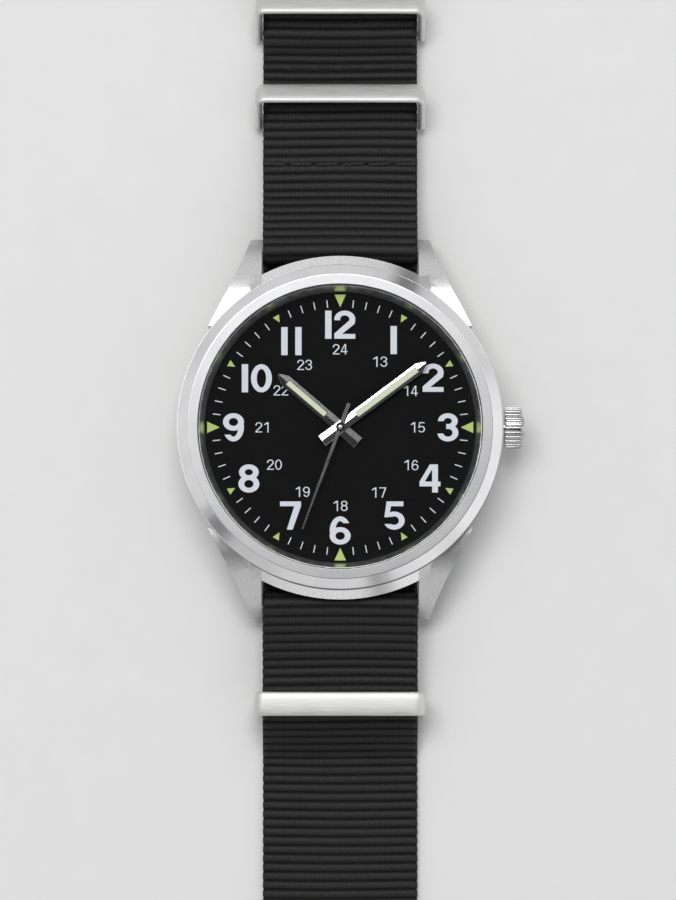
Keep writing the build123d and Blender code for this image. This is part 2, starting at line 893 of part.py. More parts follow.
with BuildPart() as crown:
    with BuildSketch(Plane(origin=(crown_x, 0, stem_z), z_dir=(1, 0, 0))):
        Circle(crown_radius)
    extrude(amount=crown_length)
    chamfer(crown.edges(), length=flute_radius)
    with BuildSketch(Plane(origin=(crown_x - overrun, 0, stem_z), z_dir=(1, 0, 0))):
        with PolarLocations(crown_radius, crown_flutes):
            Circle(flute_radius)
    extrude(amount=crown_length + 2 * overrun, mode=Mode.SUBTRACT)
    with BuildSketch(Plane(origin=(crown_end, 0, stem_z), z_dir=(1, 0, 0))):
        Circle(crown_cap_radius)
    extrude(amount=crown_cap_length, taper=crown_cap_draft_angle)
    with BuildSketch(Plane(origin=(crown_x, 0, stem_z), z_dir=(1, 0, 0))):
        Circle(crown_recess_radius)
    extrude(amount=crown_recess_depth, mode=Mode.SUBTRACT)
    with BuildSketch(Plane(origin=(crown_x, 0, stem_z), z_dir=(1, 0, 0))):
        Circle(stem_radius + slack / 2)
    extrude(amount=stem_end + slack - crown_x, mode=Mode.SUBTRACT)
save("crown", crown.part)

crown_gasket_length = crown_recess_radius - tube_radius - 2 * running_fit
with BuildPart() as crown_gasket:
    with BuildSketch(Plane(origin=(crown_x + slack, 0, stem_z), z_dir=(1, 0, 0))):
        Circle(crown_recess_radius - slack / 2)
        Circle(tube_radius + running_fit / 2, mode=Mode.SUBTRACT)
    extrude(amount=crown_gasket_length)
save("crown_gasket", crown_gasket.part)


def hand_plane(angle, z):
    """A plane at a height whose local Y runs along a hand, clockwise from 12."""
    return Plane(
        origin=(0, 0, z),
        x_dir=(cos(radians(angle)), -sin(radians(angle)), 0),
        z_dir=(0, 0, 1),
    )


def baton_hand(name, angle, z, length, width, tail, tip, hub, lume):
    """A baton hand with a roof ridge, a blunt tip, a hub bore and a slot for its lume."""
    plane = hand_plane(angle, z)
    lume_start, lume_end, lume_width = lume
    with BuildPart() as hand:
        with BuildSketch(plane):
            Polygon(
                (-width / 2 - hand_tail_flare, -tail),
                (width / 2 + hand_tail_flare, -tail),
                (width / 2, 0),
                (width / 2, length - tip),
                (hand_point_width / 2, length),
                (-hand_point_width / 2, length),
                (-width / 2, length - tip),
                (-width / 2, 0),
                align=None,
            )
        extrude(amount=hand_thickness)
        section = Plane(
            origin=plane.from_local_coords((0, -tail - overrun, 0)),
            x_dir=-plane.x_dir,
            z_dir=plane.y_dir,
        )
        with BuildSketch(section):
            Polygon(
                (-width, -hand_thickness),
                (-width, hand_thickness * hand_rim_share),
                (-width / 2, hand_thickness * hand_rim_share),
                (0, hand_thickness),
                (width / 2, hand_thickness * hand_rim_share),
                (width, hand_thickness * hand_rim_share),
                (width, -hand_thickness),
                align=None,
            )
        extrude(amount=-(length + tail + 2 * overrun), both=True, mode=Mode.INTERSECT)
        with BuildSketch(plane.offset(-overrun)):
            Circle(hub)
            with Locations((0, (lume_start + lume_end) / 2)):
                Rectangle(lume_width, lume_end - lume_start)
        extrude(amount=hand_thickness + 2 * overrun, mode=Mode.SUBTRACT)
    save(name, hand.part)
    with BuildPart() as glow:
        with BuildSketch(plane):
            with Locations((0, (lume_start + lume_end) / 2)):
                Rectangle(
                    lume_width - 2 * running_fit,
                    lume_end - lume_start - 2 * running_fit,
                )
        extrude(amount=hand_thickness * lume_height_share)
    save(name + "_lume", glow.part)


baton_hand(
    "hour_hand",
    hour_angle,
    hour_hand_z,
    hour_hand_length,
    hour_hand_width,
    hour_hand_tail,
    hour_hand_tip,
    cannon_radius + running_fit,
    (hour_lume_start, hour_lume_end, hour_lume_width),
)
baton_hand(
    "minute_hand",
    minute_angle,
    minute_hand_z,
    minute_hand_length,
    minute_hand_width,
    minute_hand_tail,
    minute_hand_tip,
    pipe_radius + slack / 2,
    (minute_lume_start, minute_lume_end, minute_lume_width),
)

with BuildPart() as seconds_hand:
    with BuildSketch(hand_plane(seconds_angle, seconds_hand_z)):
        Polygon(
            (-seconds_tail_width / 2, -seconds_tail),
            (seconds_tail_width / 2, -seconds_tail),
            (seconds_tail_width / 2, 0),
            (seconds_width / 2, 0),
            (seconds_point_width / 2, seconds_length),
            (-seconds_point_width / 2, seconds_length),
            (-seconds_width / 2, 0),
            (-seconds_tail_width / 2, 0),
            align=None,
        )
        Circle(seconds_hub_radius)
    extrude(amount=hand_thickness / 2)
    with BuildSketch(hand_plane(seconds_angle, seconds_hand_z)):
        Circle(seconds_hub_radius)
    extrude(amount=hand_thickness)
    with BuildSketch(hand_plane(seconds_angle, seconds_hand_z - overrun)):
        Circle(arbor_radius + slack / 5)
    extrude(amount=overrun + hand_thickness / 2 + slack / 5, mode=Mode.SUBTRACT)
save("seconds_hand", seconds_hand.part)

# Dial print: plain numerals drawn from rings and bars, all as thin raised films
ring_squeeze_share = 0.82
upper_narrow_share = 0.94
upper_loop_share = 0.47
slant_width_share = 0.9
slant_inset_share = 0.1
flag_drop_share = 0.24
flag_left_share = 0.11
one_right_share = 0.76
two_ring_share = 0.60
two_heel_share = 0.6
three_cut_shares = (0.42, 0.44)
four_stem_share = 0.2
four_bar_share = 0.22
four_crown_share = 0.38
five_ring_share = 0.64
five_cut_shares = (0.45, 0.4)
five_cut_rise_share = 0.51
five_back_shares = (0.72, 0.94, 0.06)
five_bar_shares = (0.08, 0.8)
six_ring_share = 0.62
six_cut_share = 0.52
seven_foot_share = 0.15
seven_slant_share = 1.15


def loop_ring(centre, width, height, stroke):
    """An oval ring, a little thinner at its top and bottom."""
    with Locations(centre):
        Ellipse(width / 2, height / 2)
        Ellipse(width / 2 - stroke, height / 2 - stroke * ring_squeeze_share, mode=Mode.SUBTRACT)


def left_cut(x, y, width, height):
    """Opens the left side of a ring."""
    with Locations((x, y)):
        Rectangle(width, height, align=(Align.MIN, Align.CENTER), mode=Mode.SUBTRACT)


def digit_sketch(digit, width, height, stroke):
    """One digit, centred, as a flat sketch."""
    half_w = width / 2
    half_h = height / 2
    bar = stroke * ring_squeeze_share
    slant = stroke * slant_width_share
    inset = stroke * slant_inset_share
    with BuildSketch(mode=Mode.PRIVATE) as shape:
        if digit == "0":
            loop_ring((0, 0), width, height, stroke)
        elif digit == "1":
            stem_right = -half_w + width * one_right_share
            flag_y = half_h - height * flag_drop_share
            with Locations((stem_right - stroke / 2, 0)):
                Rectangle(stroke, height)
            Polygon(
                (stem_right - stroke, half_h),
                (stem_right - stroke / 2, half_h),
                (stem_right - stroke / 2, flag_y + bar),
                (-half_w + width * flag_left_share, flag_y - bar / 2),
                (-half_w + width * flag_left_share, flag_y + bar / 2),
                align=None,
            )
        elif digit == "2":
            ring = height * two_ring_share
            ring_y = half_h - ring / 2
            loop_ring((0, ring_y), width, ring, stroke)
            left_cut(-half_w, ring_y - ring / 4 - bar / 4, width, ring / 2)
            Polygon(
                (half_w, ring_y - bar / 4),
                (half_w - stroke, ring_y - bar / 4),
                (-half_w, -half_h + slant),
                (-half_w, -half_h),
                (-half_w + slant, -half_h + bar * two_heel_share),
                (half_w - inset, ring_y - bar),
                align=None,
            )
            with Locations((0, -half_h + bar / 2)):
                Rectangle(width, bar)
        elif digit == "3":
            top = height * upper_loop_share + bar / 2
            low = height * (1 - upper_loop_share) + bar / 2
            cut_x, cut_y = three_cut_shares
            loop_ring((0, half_h - top / 2), width * upper_narrow_share, top, stroke)
            loop_ring((0, -half_h + low / 2), width, low, stroke)
            left_cut(-half_w, 0, width * cut_x, height * cut_y)
        elif digit == "4":
            stem_x = half_w * four_stem_share
            bar_low = -half_h + height * four_bar_share
            with Locations((stem_x + stroke / 2, 0)):
                Rectangle(stroke, height)
            Polygon(
                (stem_x - stroke * four_crown_share, half_h),
                (stem_x + stroke / 2, half_h),
                (-half_w + slant, bar_low + bar),
                (-half_w, bar_low + bar),
                align=None,
            )
            with Locations((0, bar_low + bar / 2)):
                Rectangle(width, bar)
        elif digit == "5":
            ring = height * five_ring_share
            cut_x, cut_y = five_cut_shares
            back_top, back_low, back_drop = five_back_shares
            bar_shift, bar_width = five_bar_shares
            loop_ring((0, -half_h + ring / 2), width, ring, stroke)
            left_cut(-half_w, -half_h + ring * five_cut_rise_share, width * cut_x, ring * cut_y)
            Polygon(
                (-half_w * back_top, half_h),
                (-half_w * back_top + slant, half_h),
                (-half_w + slant, -height * back_drop),
                (-half_w * back_low, -height * back_drop),
                align=None,
            )
            with Locations((half_w * bar_shift, half_h - bar / 2)):
                Rectangle(width * bar_width, bar)
        elif digit == "7":
            with Locations((0, half_h - bar / 2)):
                Rectangle(width, bar)
            Polygon(
                (half_w, half_h),
                (half_w, half_h - bar),
                (-width * seven_foot_share + slant, -half_h),
                (-width * seven_foot_share - inset, -half_h),
                (half_w - stroke * seven_slant_share, half_h - bar),
                align=None,
            )
        elif digit == "8":
            top = height * upper_loop_share + bar / 2
            low = height * (1 - upper_loop_share) + bar / 2
            loop_ring((0, half_h - top / 2), width * upper_narrow_share, top, stroke)
            with Locations((0, -half_h + low / 2)):
                Ellipse(width / 2, low / 2)
                Ellipse(width / 2 - stroke, low / 2 - bar, mode=Mode.SUBTRACT)
        else:
            up = 1 if digit == "9" else -1
            ring = height * six_ring_share
            loop_ring((0, 0), width, height, stroke)
            left_cut(0 if up < 0 else -half_w, 0, half_w, height * six_cut_share)
            loop_ring((0, up * (half_h - ring / 2)), width, ring, stroke)
    return shape.sketch


def number_places(text, width, one_width, gap, twin_gap):
    """Each digit's offset from the number's centre."""
    places = []
    reach = 0
    for index, digit in enumerate(text):
        own = one_width if digit == "1" else width
        if index > 0:
            reach += twin_gap if text[index - 1:index + 1] == "11" else gap
        places.append(reach + own / 2)
        reach += own
    return [place - reach / 2 for place in places]


def numerals(name, first, ring, place_shares, width, height, stroke, one_width, gap, twin_gap):
    """Numbers at their places, with 1 as a plain bar where it is narrower than the other digits."""
    with BuildPart() as printed:
        with BuildSketch(Plane.XY.offset(dial_top)):
            for step, (share_x, share_y) in enumerate(place_shares):
                text = str(first + step)
                offsets = number_places(text, width, one_width, gap, twin_gap)
                for digit, offset_x in zip(text, offsets):
                    with Locations((ring * share_x + offset_x, ring * share_y)):
                        if digit == "1" and one_width < width:
                            Rectangle(one_width, height)
                        else:
                            add(digit_sketch(digit, width, height, stroke))
        extrude(amount=print_thickness)
    save(name, printed.part)


first_hour = 1
hours_per_turn = 12
numerals(
    "hour_numerals",
    first_hour,
    numeral_ring,
    hour_place_shares,
    numeral_width,
    numeral_height,
    numeral_stroke,
    bar_stroke,
    numeral_gap,
    twin_bar_gap,
)
numerals(
    "small_numerals",
    first_hour + hours_per_turn,
    small_ring,
    small_place_shares,
    small_width,
    small_height,
    small_stroke,
    small_width,
    small_gap,
    small_gap,
)

minutes_per_turn = 60
minutes_per_hour_mark = 5
hours_per_quarter = 3


def triangle(outer, height, base):
    Polygon((-base / 2, outer), (base / 2, outer), (0, outer - height), align=None)


with BuildPart() as minute_track:
    with BuildSketch(Plane.XY.offset(dial_top)):
        for minute in range(minutes_per_turn):
            if minute % minutes_per_hour_mark:
                with PolarLocations(0, 1, start_angle=minute * full_turn / minutes_per_turn):
                    with Locations((0, tick_outer - tick_length / 2)):
                        Rectangle(tick_width, tick_length)
    extrude(amount=print_thickness)
save("minute_track", minute_track.part)

with BuildPart() as lume_triangles:
    for hour in range(hours_per_turn):
        with BuildSketch(hand_plane(hour * full_turn / hours_per_turn, dial_top)):
            if hour % hours_per_quarter:
                triangle(small_triangle_radius, small_triangle_height, small_triangle_base)
            else:
                triangle(big_triangle_radius, big_triangle_height, big_triangle_base)
        extrude(amount=print_thickness)
save("lume_triangles", lume_triangles.part)


def spring_bar(prefix, side_y):
    """A sprung strap bar: tube, two pins that slide in it, and the coil between them."""
    with BuildPart() as tube:
        with BuildSketch(Plane(origin=(-bar_half_length, side_y, bar_z), z_dir=(1, 0, 0))):
            Circle(bar_radius)
            Circle(bar_bore_radius, mode=Mode.SUBTRACT)
        extrude(amount=2 * bar_half_length)
    save(prefix + "_bar_tube", tube.part)
    for side, hand in (("left", -1), ("right", 1)):
        with BuildPart() as pin:
            with BuildSketch(
                Plane(origin=(hand * pin_inner_reach, side_y, bar_z), z_dir=(hand, 0, 0))
            ):
                Circle(pin_radius)
            extrude(amount=pin_reach - pin_inner_reach)
            chamfer(pin.edges(), length=slack * 2)
        save(prefix + "_bar_pin_" + side, pin.part)
    coil_half = pin_inner_reach - spring_wire_radius - slack
    with BuildPart() as spring:
        with BuildLine() as path:
            Helix(
                2 * coil_half / spring_turn_count,
                2 * coil_half,
                spring_coil_radius,
                center=(-coil_half, side_y, bar_z),
                direction=(1, 0, 0),
            )
        with BuildSketch(Plane(origin=path.line @ 0, z_dir=path.line % 0)):
            RegularPolygon(spring_wire_radius, spring_wire_side_count)
        sweep(is_frenet=True)
    save(prefix + "_bar_spring", spring.part)


spring_bar("upper", bar_reach)
spring_bar("lower", -bar_reach)


def strap_ring(name, at_y, at_z, lean):
    """A flat-strip loop round the strap: round lower bar, legs that widen to a broad upper bar."""
    lean_up = (0, sin(radians(lean)), cos(radians(lean)))
    front = Plane(origin=(0, at_y, at_z), x_dir=(1, 0, 0), z_dir=(0, -lean_up[2], lean_up[1]))
    side = Plane(origin=(0, at_y, at_z), x_dir=(0, lean_up[2], -lean_up[1]), z_dir=(1, 0, 0))
    top = ring_rise + ring_bar / 2
    with BuildPart() as ring:
        with BuildSketch(front):
            with Locations((0, (top - ring_foot_radius) / 2)):
                RectangleRounded(ring_width, top + ring_foot_radius, ring_corner / 2)
            with Locations((0, (top - ring_bar - ring_foot_radius - overrun) / 2)):
                Rectangle(
                    ring_window,
                    top - ring_bar + ring_foot_radius + overrun,
                    mode=Mode.SUBTRACT,
                )
        extrude(amount=ring_depth, both=True)
        with BuildSketch(side):
            Circle(ring_foot_radius)
            with Locations((0, top - ring_corner)):
                Rectangle(ring_depth, 2 * ring_corner)
            make_hull()
        extrude(amount=ring_width, both=True, mode=Mode.INTERSECT)
        upper_face = ring.faces().sort_by(Axis(front.origin, lean_up))[-1]
        fillet(upper_face.edges(), radius=ring_soft_edge)
        with BuildSketch(Plane(origin=(-ring_width / 2, at_y, at_z), z_dir=(1, 0, 0))):
            Circle(ring_low_radius)
        extrude(amount=ring_width)
    save(name, ring.part)


# Strap centreline heights: on the table, sewn second layer, sewn third layer, over the end loop
layer_step = webbing + layer_gap
layer_one = webbing / 2
layer_two = layer_one + layer_step
layer_three = layer_two + layer_step
fold_radius = ring_low_radius + layer_gap + webbing / 2
ring_low_z = layer_one + fold_radius
loop_top = ring_low_z + fold_radius
layer_over_loop = loop_top + layer_step
crest_radius = bar_radius + strap_crest_room + webbing / 2
wrap_y = bar_reach - crest_radius

strap_ring("keeper_far", keeper_far_y, ring_low_z, keeper_lean_angle)
strap_ring("keeper_near", keeper_near_y, ring_low_z, keeper_lean_angle)
strap_ring("end_ring", end_ring_y, ring_low_z, 0)

# Buckle: a tilted open frame whose nose lies on the table, its bar and its tang
buckle_fold = buckle_bar_radius + layer_gap + webbing / 2
buckle_z = layer_one + buckle_fold
frame_nose = buckle_reach + buckle_rod / 2
buckle_tilt = asin((buckle_z - buckle_rod / 2) / frame_nose)
buckle_plane = Plane(
    origin=(0, buckle_y, buckle_z), x_dir=(1, 0, 0), z_dir=(0, sin(buckle_tilt), cos(buckle_tilt))
)
frame_side = Plane(origin=buckle_plane.origin, x_dir=buckle_plane.y_dir, z_dir=(1, 0, 0))
with BuildPart() as buckle_frame:
    with BuildSketch(buckle_plane) as frame_sketch:
        with Locations((0, (frame_nose - buckle_end_length) / 2)):
            Rectangle(buckle_width, frame_nose + buckle_end_length)
        fillet(frame_sketch.vertices().sort_by(Axis.Y)[-2:], radius=buckle_corner)
        fillet(frame_sketch.vertices().sort_by(Axis.Y)[:2], radius=buckle_end_length / 2)
        with BuildSketch(mode=Mode.PRIVATE) as window:
            with Locations((0, (frame_nose - buckle_rod) / 2 - buckle_end_length)):
                Rectangle(buckle_window, frame_nose - buckle_rod + 2 * buckle_end_length)
            fillet(window.vertices().sort_by(Axis.Y)[-2:], radius=buckle_corner - buckle_rod)
        add(window.sketch, mode=Mode.SUBTRACT)
    extrude(amount=buckle_rod / 2, both=True)
    flats = buckle_frame.faces().filter_by(Axis(buckle_plane.origin, buckle_plane.z_dir))
    fillet(flats.edges(), radius=buckle_soft_edge)
    with BuildSketch(Plane(origin=(-buckle_width / 2, buckle_y, buckle_z), z_dir=(1, 0, 0))):
        Circle(buckle_bar_radius)
    extrude(amount=buckle_width, mode=Mode.SUBTRACT)
save("buckle_frame", buckle_frame.part)

with BuildPart() as buckle_bar:
    with BuildSketch(Plane(origin=(-buckle_width / 2, buckle_y, buckle_z), z_dir=(1, 0, 0))):
        Circle(buckle_bar_radius - running_fit / 2)
    extrude(amount=buckle_width)
save("buckle_bar", buckle_bar.part)

tang_inner = buckle_bar_radius + running_fit
tang_outer = tang_inner + tang_wall
tang_seat = buckle_rod / 2 + slack
with BuildPart() as buckle_tang:
    with BuildSketch(frame_side):
        Circle(tang_outer)
        with BuildLine():
            Polyline(
                (0, tang_inner),
                (0, tang_outer),
                (frame_nose + tang_overhang, tang_seat + tang_wall),
                (frame_nose + tang_overhang, tang_seat + tang_wall / 3),
                (frame_nose, tang_seat),
                (frame_nose - buckle_rod, tang_seat),
                close=True,
            )
        make_face()
        Circle(tang_inner, mode=Mode.SUBTRACT)
    extrude(amount=tang_width / 2, both=True)
save("buckle_tang", buckle_tang.part)

# Strap webbing: one long piece and the short piece sewn under it, each a ribbon along a route
fold_round_share = 0.97


def crest_corner(start_z):
    """Height of the corner over a spring bar, for a run that touches the strap's turn round it."""
    run = ramp_reach - bar_reach
    rise = bar_z - start_z
    slope = atan2(rise, run) + asin(crest_radius / sqrt(run * run + rise * rise))
    return start_z + (ramp_reach - wrap_y) * tan(slope)


def edge_line(route, side):
    """One long edge of a ribbon: corners moved sideways by half the webbing, and their radii."""
    points = [Vector(y, z) for y, z, bend in route]
    normals = []
    for start, end in zip(points, points[1:]):
        along = (end - start).normalized()
        normals.append(Vector(-along.Y, along.X))
    shift = side * webbing / 2
    corners = [points[0] + normals[0] * shift]
    radii = []
    for before, after, point, step in zip(normals, normals[1:], points[1:], route[1:]):
        corners.append(point + (before + after) * (shift / (1 + before.dot(after))))
        left_turn = before.cross(after).Z > 0
        radii.append(step[2] - shift if left_turn else step[2] + shift)
    corners.append(points[-1] + normals[-1] * shift)
    return corners, radii


def ribbon(route):
    """The route's points, (y, z, bend radius), as a ribbon of webbing."""
    upper, upper_radii = edge_line(route, 1)
    lower, lower_radii = edge_line(route, -1)
    with BuildLine() as outline:
        FilletPolyline(*upper, radius=upper_radii)
        FilletPolyline(*lower, radius=lower_radii)
        Line(upper[0], lower[0])
        Line(upper[-1], lower[-1])
    return outline.edges()


buckle_top = buckle_z + buckle_fold
fold_bend = buckle_fold * fold_round_share
long_route = [
    (seam_near_y - fold_end, layer_two, 0),
    (seam_near_y + seam_half, layer_two, soft_bend),
    (seam_near_y + seam_half + pocket_ramp, layer_one, soft_bend),
    (buckle_y + buckle_fold, layer_one, fold_bend),
    (buckle_y + buckle_fold, buckle_top, fold_bend),
    (buckle_y - buckle_ramp, buckle_top, soft_bend),
    (buckle_y - buckle_ramp - pocket_ramp, layer_three, soft_bend),
    (seam_far_y + seam_half + pocket_ramp, layer_three, soft_bend),
    (seam_far_y + seam_half, layer_two, soft_bend),
    (seam_far_y - seam_half, layer_two, soft_bend),
    (seam_far_y - seam_half - pocket_ramp, layer_three, soft_bend),
    (ramp_reach, layer_three, soft_bend),
    (wrap_y, crest_corner(layer_three), crest_radius),
    (wrap_y, layer_two, under_bend),
    (-wrap_y, layer_two, under_bend),
    (-wrap_y, crest_corner(layer_over_loop), crest_radius),
    (-ramp_reach, layer_over_loop, soft_bend),
    (end_ring_y - end_loop_room, layer_over_loop, soft_bend),
    (tail_down_y, layer_one, soft_bend),
    (tail_tip_y, layer_one, 0),
]
with BuildPart() as strap_long:
    with BuildSketch(Plane.YZ):
        make_face(ribbon(long_route))
    extrude(amount=strap_width / 2, both=True)
    with BuildSketch():
        for hand in (-1, 1):
            with BuildLine():
                Polyline(
                    (hand * strap_width / 2, tail_tip_y + tip_length),
                    (hand * (strap_width / 2 + overrun), tail_tip_y - overrun),
                    (0, tail_tip_y - overrun),
                    (0, tail_tip_y),
                    (hand * strap_width / 2 * tip_share, tail_tip_y),
                    close=True,
                )
            make_face()
        for step in range(hole_count):
            with Locations((0, tail_tip_y + first_hole_from_tip + step * hole_pitch)):
                Circle(hole_radius)
    extrude(amount=webbing, mode=Mode.SUBTRACT)
    slot_low = buckle_y - tang_slot_back
    with BuildSketch():
        with Locations((0, (slot_low + buckle_y + tang_slot_front) / 2)):
            Rectangle(tang_slot_width, buckle_y + tang_slot_front - slot_low)
    extrude(amount=buckle_top + webbing, mode=Mode.SUBTRACT)
save("strap_long", strap_long.part)

loop_bend = fold_radius * fold_round_share
short_route = [
    (seam_near_y + seam_half / 2, layer_one, 0),
    (end_ring_y - fold_radius, layer_one, loop_bend),
    (end_ring_y - fold_radius, loop_top, loop_bend),
    (end_ring_y + ring_low_radius, loop_top, soft_bend),
    (end_ring_y + ring_low_radius + loop_ramp, layer_two, soft_bend),
    (end_ring_y + end_loop_seam + end_loop_tail, layer_two, 0),
]
with BuildPart() as strap_short:
    with BuildSketch(Plane.YZ):
        make_face(ribbon(short_route))
    extrude(amount=strap_width / 2, both=True)
save("strap_short", strap_short.part)

seam_rows = (
    (seam_far_y, layer_two + webbing / 2),
    (seam_near_y, layer_three + webbing / 2),
    (end_ring_y + end_loop_seam, layer_two + webbing / 2),
)
with BuildPart() as stitches:
    for row_y, row_z in seam_rows:
        with BuildSketch(Plane.XY.offset(row_z)):
            with Locations((0, row_y)):
                with GridLocations(stitch_pitch, stitch_pitch, stitch_count, 1):
                    SlotOverall(stitch_length, stitch_width)
        extrude(amount=stitch_height)
save("stitches", stitches.part)
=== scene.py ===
import json
from math import atan, ceil, cos, pi, radians, sin, sqrt, tan

import bmesh
import bpy
from mathutils import Matrix, Vector


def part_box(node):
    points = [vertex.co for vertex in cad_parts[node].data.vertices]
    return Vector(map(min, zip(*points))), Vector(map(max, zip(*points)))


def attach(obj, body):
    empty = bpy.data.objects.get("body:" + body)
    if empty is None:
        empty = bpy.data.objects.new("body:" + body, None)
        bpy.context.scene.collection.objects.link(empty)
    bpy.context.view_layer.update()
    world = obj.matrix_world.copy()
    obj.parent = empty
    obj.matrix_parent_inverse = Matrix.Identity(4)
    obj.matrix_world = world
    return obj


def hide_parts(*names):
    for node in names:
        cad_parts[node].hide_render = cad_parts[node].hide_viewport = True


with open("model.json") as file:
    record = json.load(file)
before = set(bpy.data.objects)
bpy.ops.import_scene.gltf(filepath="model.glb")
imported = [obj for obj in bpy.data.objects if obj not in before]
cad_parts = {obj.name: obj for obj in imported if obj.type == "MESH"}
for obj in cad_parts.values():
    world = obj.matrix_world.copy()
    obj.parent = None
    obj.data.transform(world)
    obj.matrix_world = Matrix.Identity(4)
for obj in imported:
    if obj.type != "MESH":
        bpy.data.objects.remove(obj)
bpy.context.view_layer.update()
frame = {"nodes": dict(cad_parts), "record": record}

# Units
MM = 0.001

# The photograph's frame and scale, and where the dial's centre lies in it
PHOTO_WIDTH_PX = 676
PHOTO_HEIGHT_PX = 900
PX_PER_MM = 7.875
DIAL_PX = (340.2, 427.3)
CAMERA_DISTANCE = 560 * MM
CAMERA_TILT = radians(2.5)
NEAREST_SEEN = 0.01

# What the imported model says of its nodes
DIAL_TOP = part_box("dial")[1].z
BODY_OF = {
    node: body for body, held in frame["record"]["behaviour"]["bodies"].items() for node in held
}
SLOT_OF = {part["node"]: part["material_slot"] for part in frame["record"]["subparts"]}


def camera():
    """Looks almost straight down, with the dial's centre where the photograph has it."""
    view_height = PHOTO_HEIGHT_PX / PX_PER_MM * MM
    aim = Vector((
        (PHOTO_WIDTH_PX / 2 - DIAL_PX[0]) / PX_PER_MM * MM,
        (DIAL_PX[1] - PHOTO_HEIGHT_PX / 2) / PX_PER_MM * MM,
        DIAL_TOP,
    ))
    data = bpy.data.cameras.new("camera")
    data.sensor_fit = "VERTICAL"
    data.angle = 2 * atan(view_height / 2 / CAMERA_DISTANCE)
    data.clip_start = NEAREST_SEEN
    eye = bpy.data.objects.new("camera", data)
    bpy.context.collection.objects.link(eye)
    back = Vector((0, -sin(CAMERA_TILT), cos(CAMERA_TILT)))
    eye.location = aim + back * CAMERA_DISTANCE
    eye.rotation_euler = (CAMERA_TILT, 0, 0)
    bpy.context.scene.camera = eye


def lamp(name, place, size, power):
    """A soft rectangular lamp, aimed at the part's origin."""
    data = bpy.data.lights.new(name, "AREA")
    data.shape = "RECTANGLE"
    data.size, data.size_y = size
    data.energy = power
    soft_box = bpy.data.objects.new(name, data)
    bpy.context.collection.objects.link(soft_box)
    soft_box.location = place
    soft_box.rotation_euler = (-Vector(place)).to_track_quat("-Z", "Y").to_euler()


# Node helpers
def new_material(name):
    """A material, its nodes, its links and its shader."""
    material = bpy.data.materials.new(name)
    material.use_nodes = True
    nodes = material.node_tree.nodes
    return material, nodes, material.node_tree.links, nodes["Principled BSDF"]


def coordinates(nodes, links, scale):
    """Object coordinates, stretched by a scale for each axis."""
    where = nodes.new("ShaderNodeTexCoord")
    mapping = nodes.new("ShaderNodeMapping")
    mapping.inputs["Scale"].default_value = scale
    links.new(where.outputs["Object"], mapping.inputs["Vector"])
    return mapping.outputs["Vector"]


def noise(nodes, links, vector, detail=4.0):
    """Noise with one cell to a unit of the vector."""
    texture = nodes.new("ShaderNodeTexNoise")
    texture.inputs["Scale"].default_value = 1.0
    texture.inputs["Detail"].default_value = detail
    links.new(vector, texture.inputs["Vector"])
    return texture.outputs["Fac"]


def ramp(nodes, links, factor, stops):
    """A colour ramp through (position, colour) stops."""
    blend = nodes.new("ShaderNodeValToRGB")
    elements = blend.color_ramp.elements
    elements[0].position, elements[0].color = stops[0][0], (*stops[0][1], 1)
    elements[1].position, elements[1].color = stops[-1][0], (*stops[-1][1], 1)
    for position, colour in stops[1:-1]:
        elements.new(position).color = (*colour, 1)
    links.new(factor, blend.inputs["Fac"])
    return blend.outputs["Color"]


def spread(nodes, links, factor, low, high):
    """A factor from 0 to 1 spread between two values."""
    change = nodes.new("ShaderNodeMapRange")
    change.inputs["To Min"].default_value = low
    change.inputs["To Max"].default_value = high
    links.new(factor, change.inputs["Value"])
    return change.outputs["Result"]


def threshold(nodes, links, value, place, width):
    """0 below a place and 1 above it."""
    edge = nodes.new("ShaderNodeMapRange")
    edge.inputs["From Min"].default_value = place - width
    edge.inputs["From Max"].default_value = place + width
    links.new(value, edge.inputs["Value"])
    return edge.outputs["Result"]


def arithmetic(nodes, links, operation, *values):
    """A Math node's result, where each value is a socket or a number."""
    node = nodes.new("ShaderNodeMath")
    node.operation = operation
    for socket, value in zip(node.inputs, values):
        if isinstance(value, (int, float)):
            socket.default_value = value
        else:
            links.new(value, socket)
    return node.outputs["Value"]


def scaled(nodes, links, colour, factor):
    """A colour times a factor."""
    product = nodes.new("ShaderNodeVectorMath")
    product.operation = "SCALE"
    links.new(colour, product.inputs[0])
    links.new(factor, product.inputs["Scale"])
    return product.outputs["Vector"]


def from_axis(nodes, links):
    """How far a point lies from the dial's axis, in millimetres."""
    flat = coordinates(nodes, links, (1 / MM, 1 / MM, 0))
    reach = nodes.new("ShaderNodeVectorMath")
    reach.operation = "LENGTH"
    links.new(flat, reach.inputs[0])
    return reach.outputs["Value"]


def bump(nodes, links, shader, height, strength, distance):
    """Fine relief on a shader's surface, from a height."""
    relief = nodes.new("ShaderNodeBump")
    relief.inputs["Strength"].default_value = strength
    relief.inputs["Distance"].default_value = distance
    links.new(height, relief.inputs["Height"])
    links.new(relief.outputs["Normal"], shader.inputs["Normal"])


def grey(level):
    """The same level three times, for a colour or a scale."""
    return (level, level, level)


# Where a grain's noise turns from its low tone to its high one, the depth of scratches in metres,
# and how fine the grains are, in cells to a metre along X, Y and Z
GRAIN_LOW = 0.3
GRAIN_HIGH = 0.7
SCRATCH_DEPTH = 2e-6
SCRATCHED_ACROSS = (350, 9000, 9000)
SCRATCHED_ALONG = (9000, 350, 9000)
FINE_GRAIN = 9000
SMUDGES = 400
GLASS_SMUDGES = 300
GLASS_IOR = 1.5
GLASS_STEEPNESS = 4.0


def toned(nodes, links, grain, low, high):
    """A colour that goes from low to high over the middle of a grain's range."""
    return ramp(nodes, links, grain, ((GRAIN_LOW, low), (GRAIN_HIGH, high)))


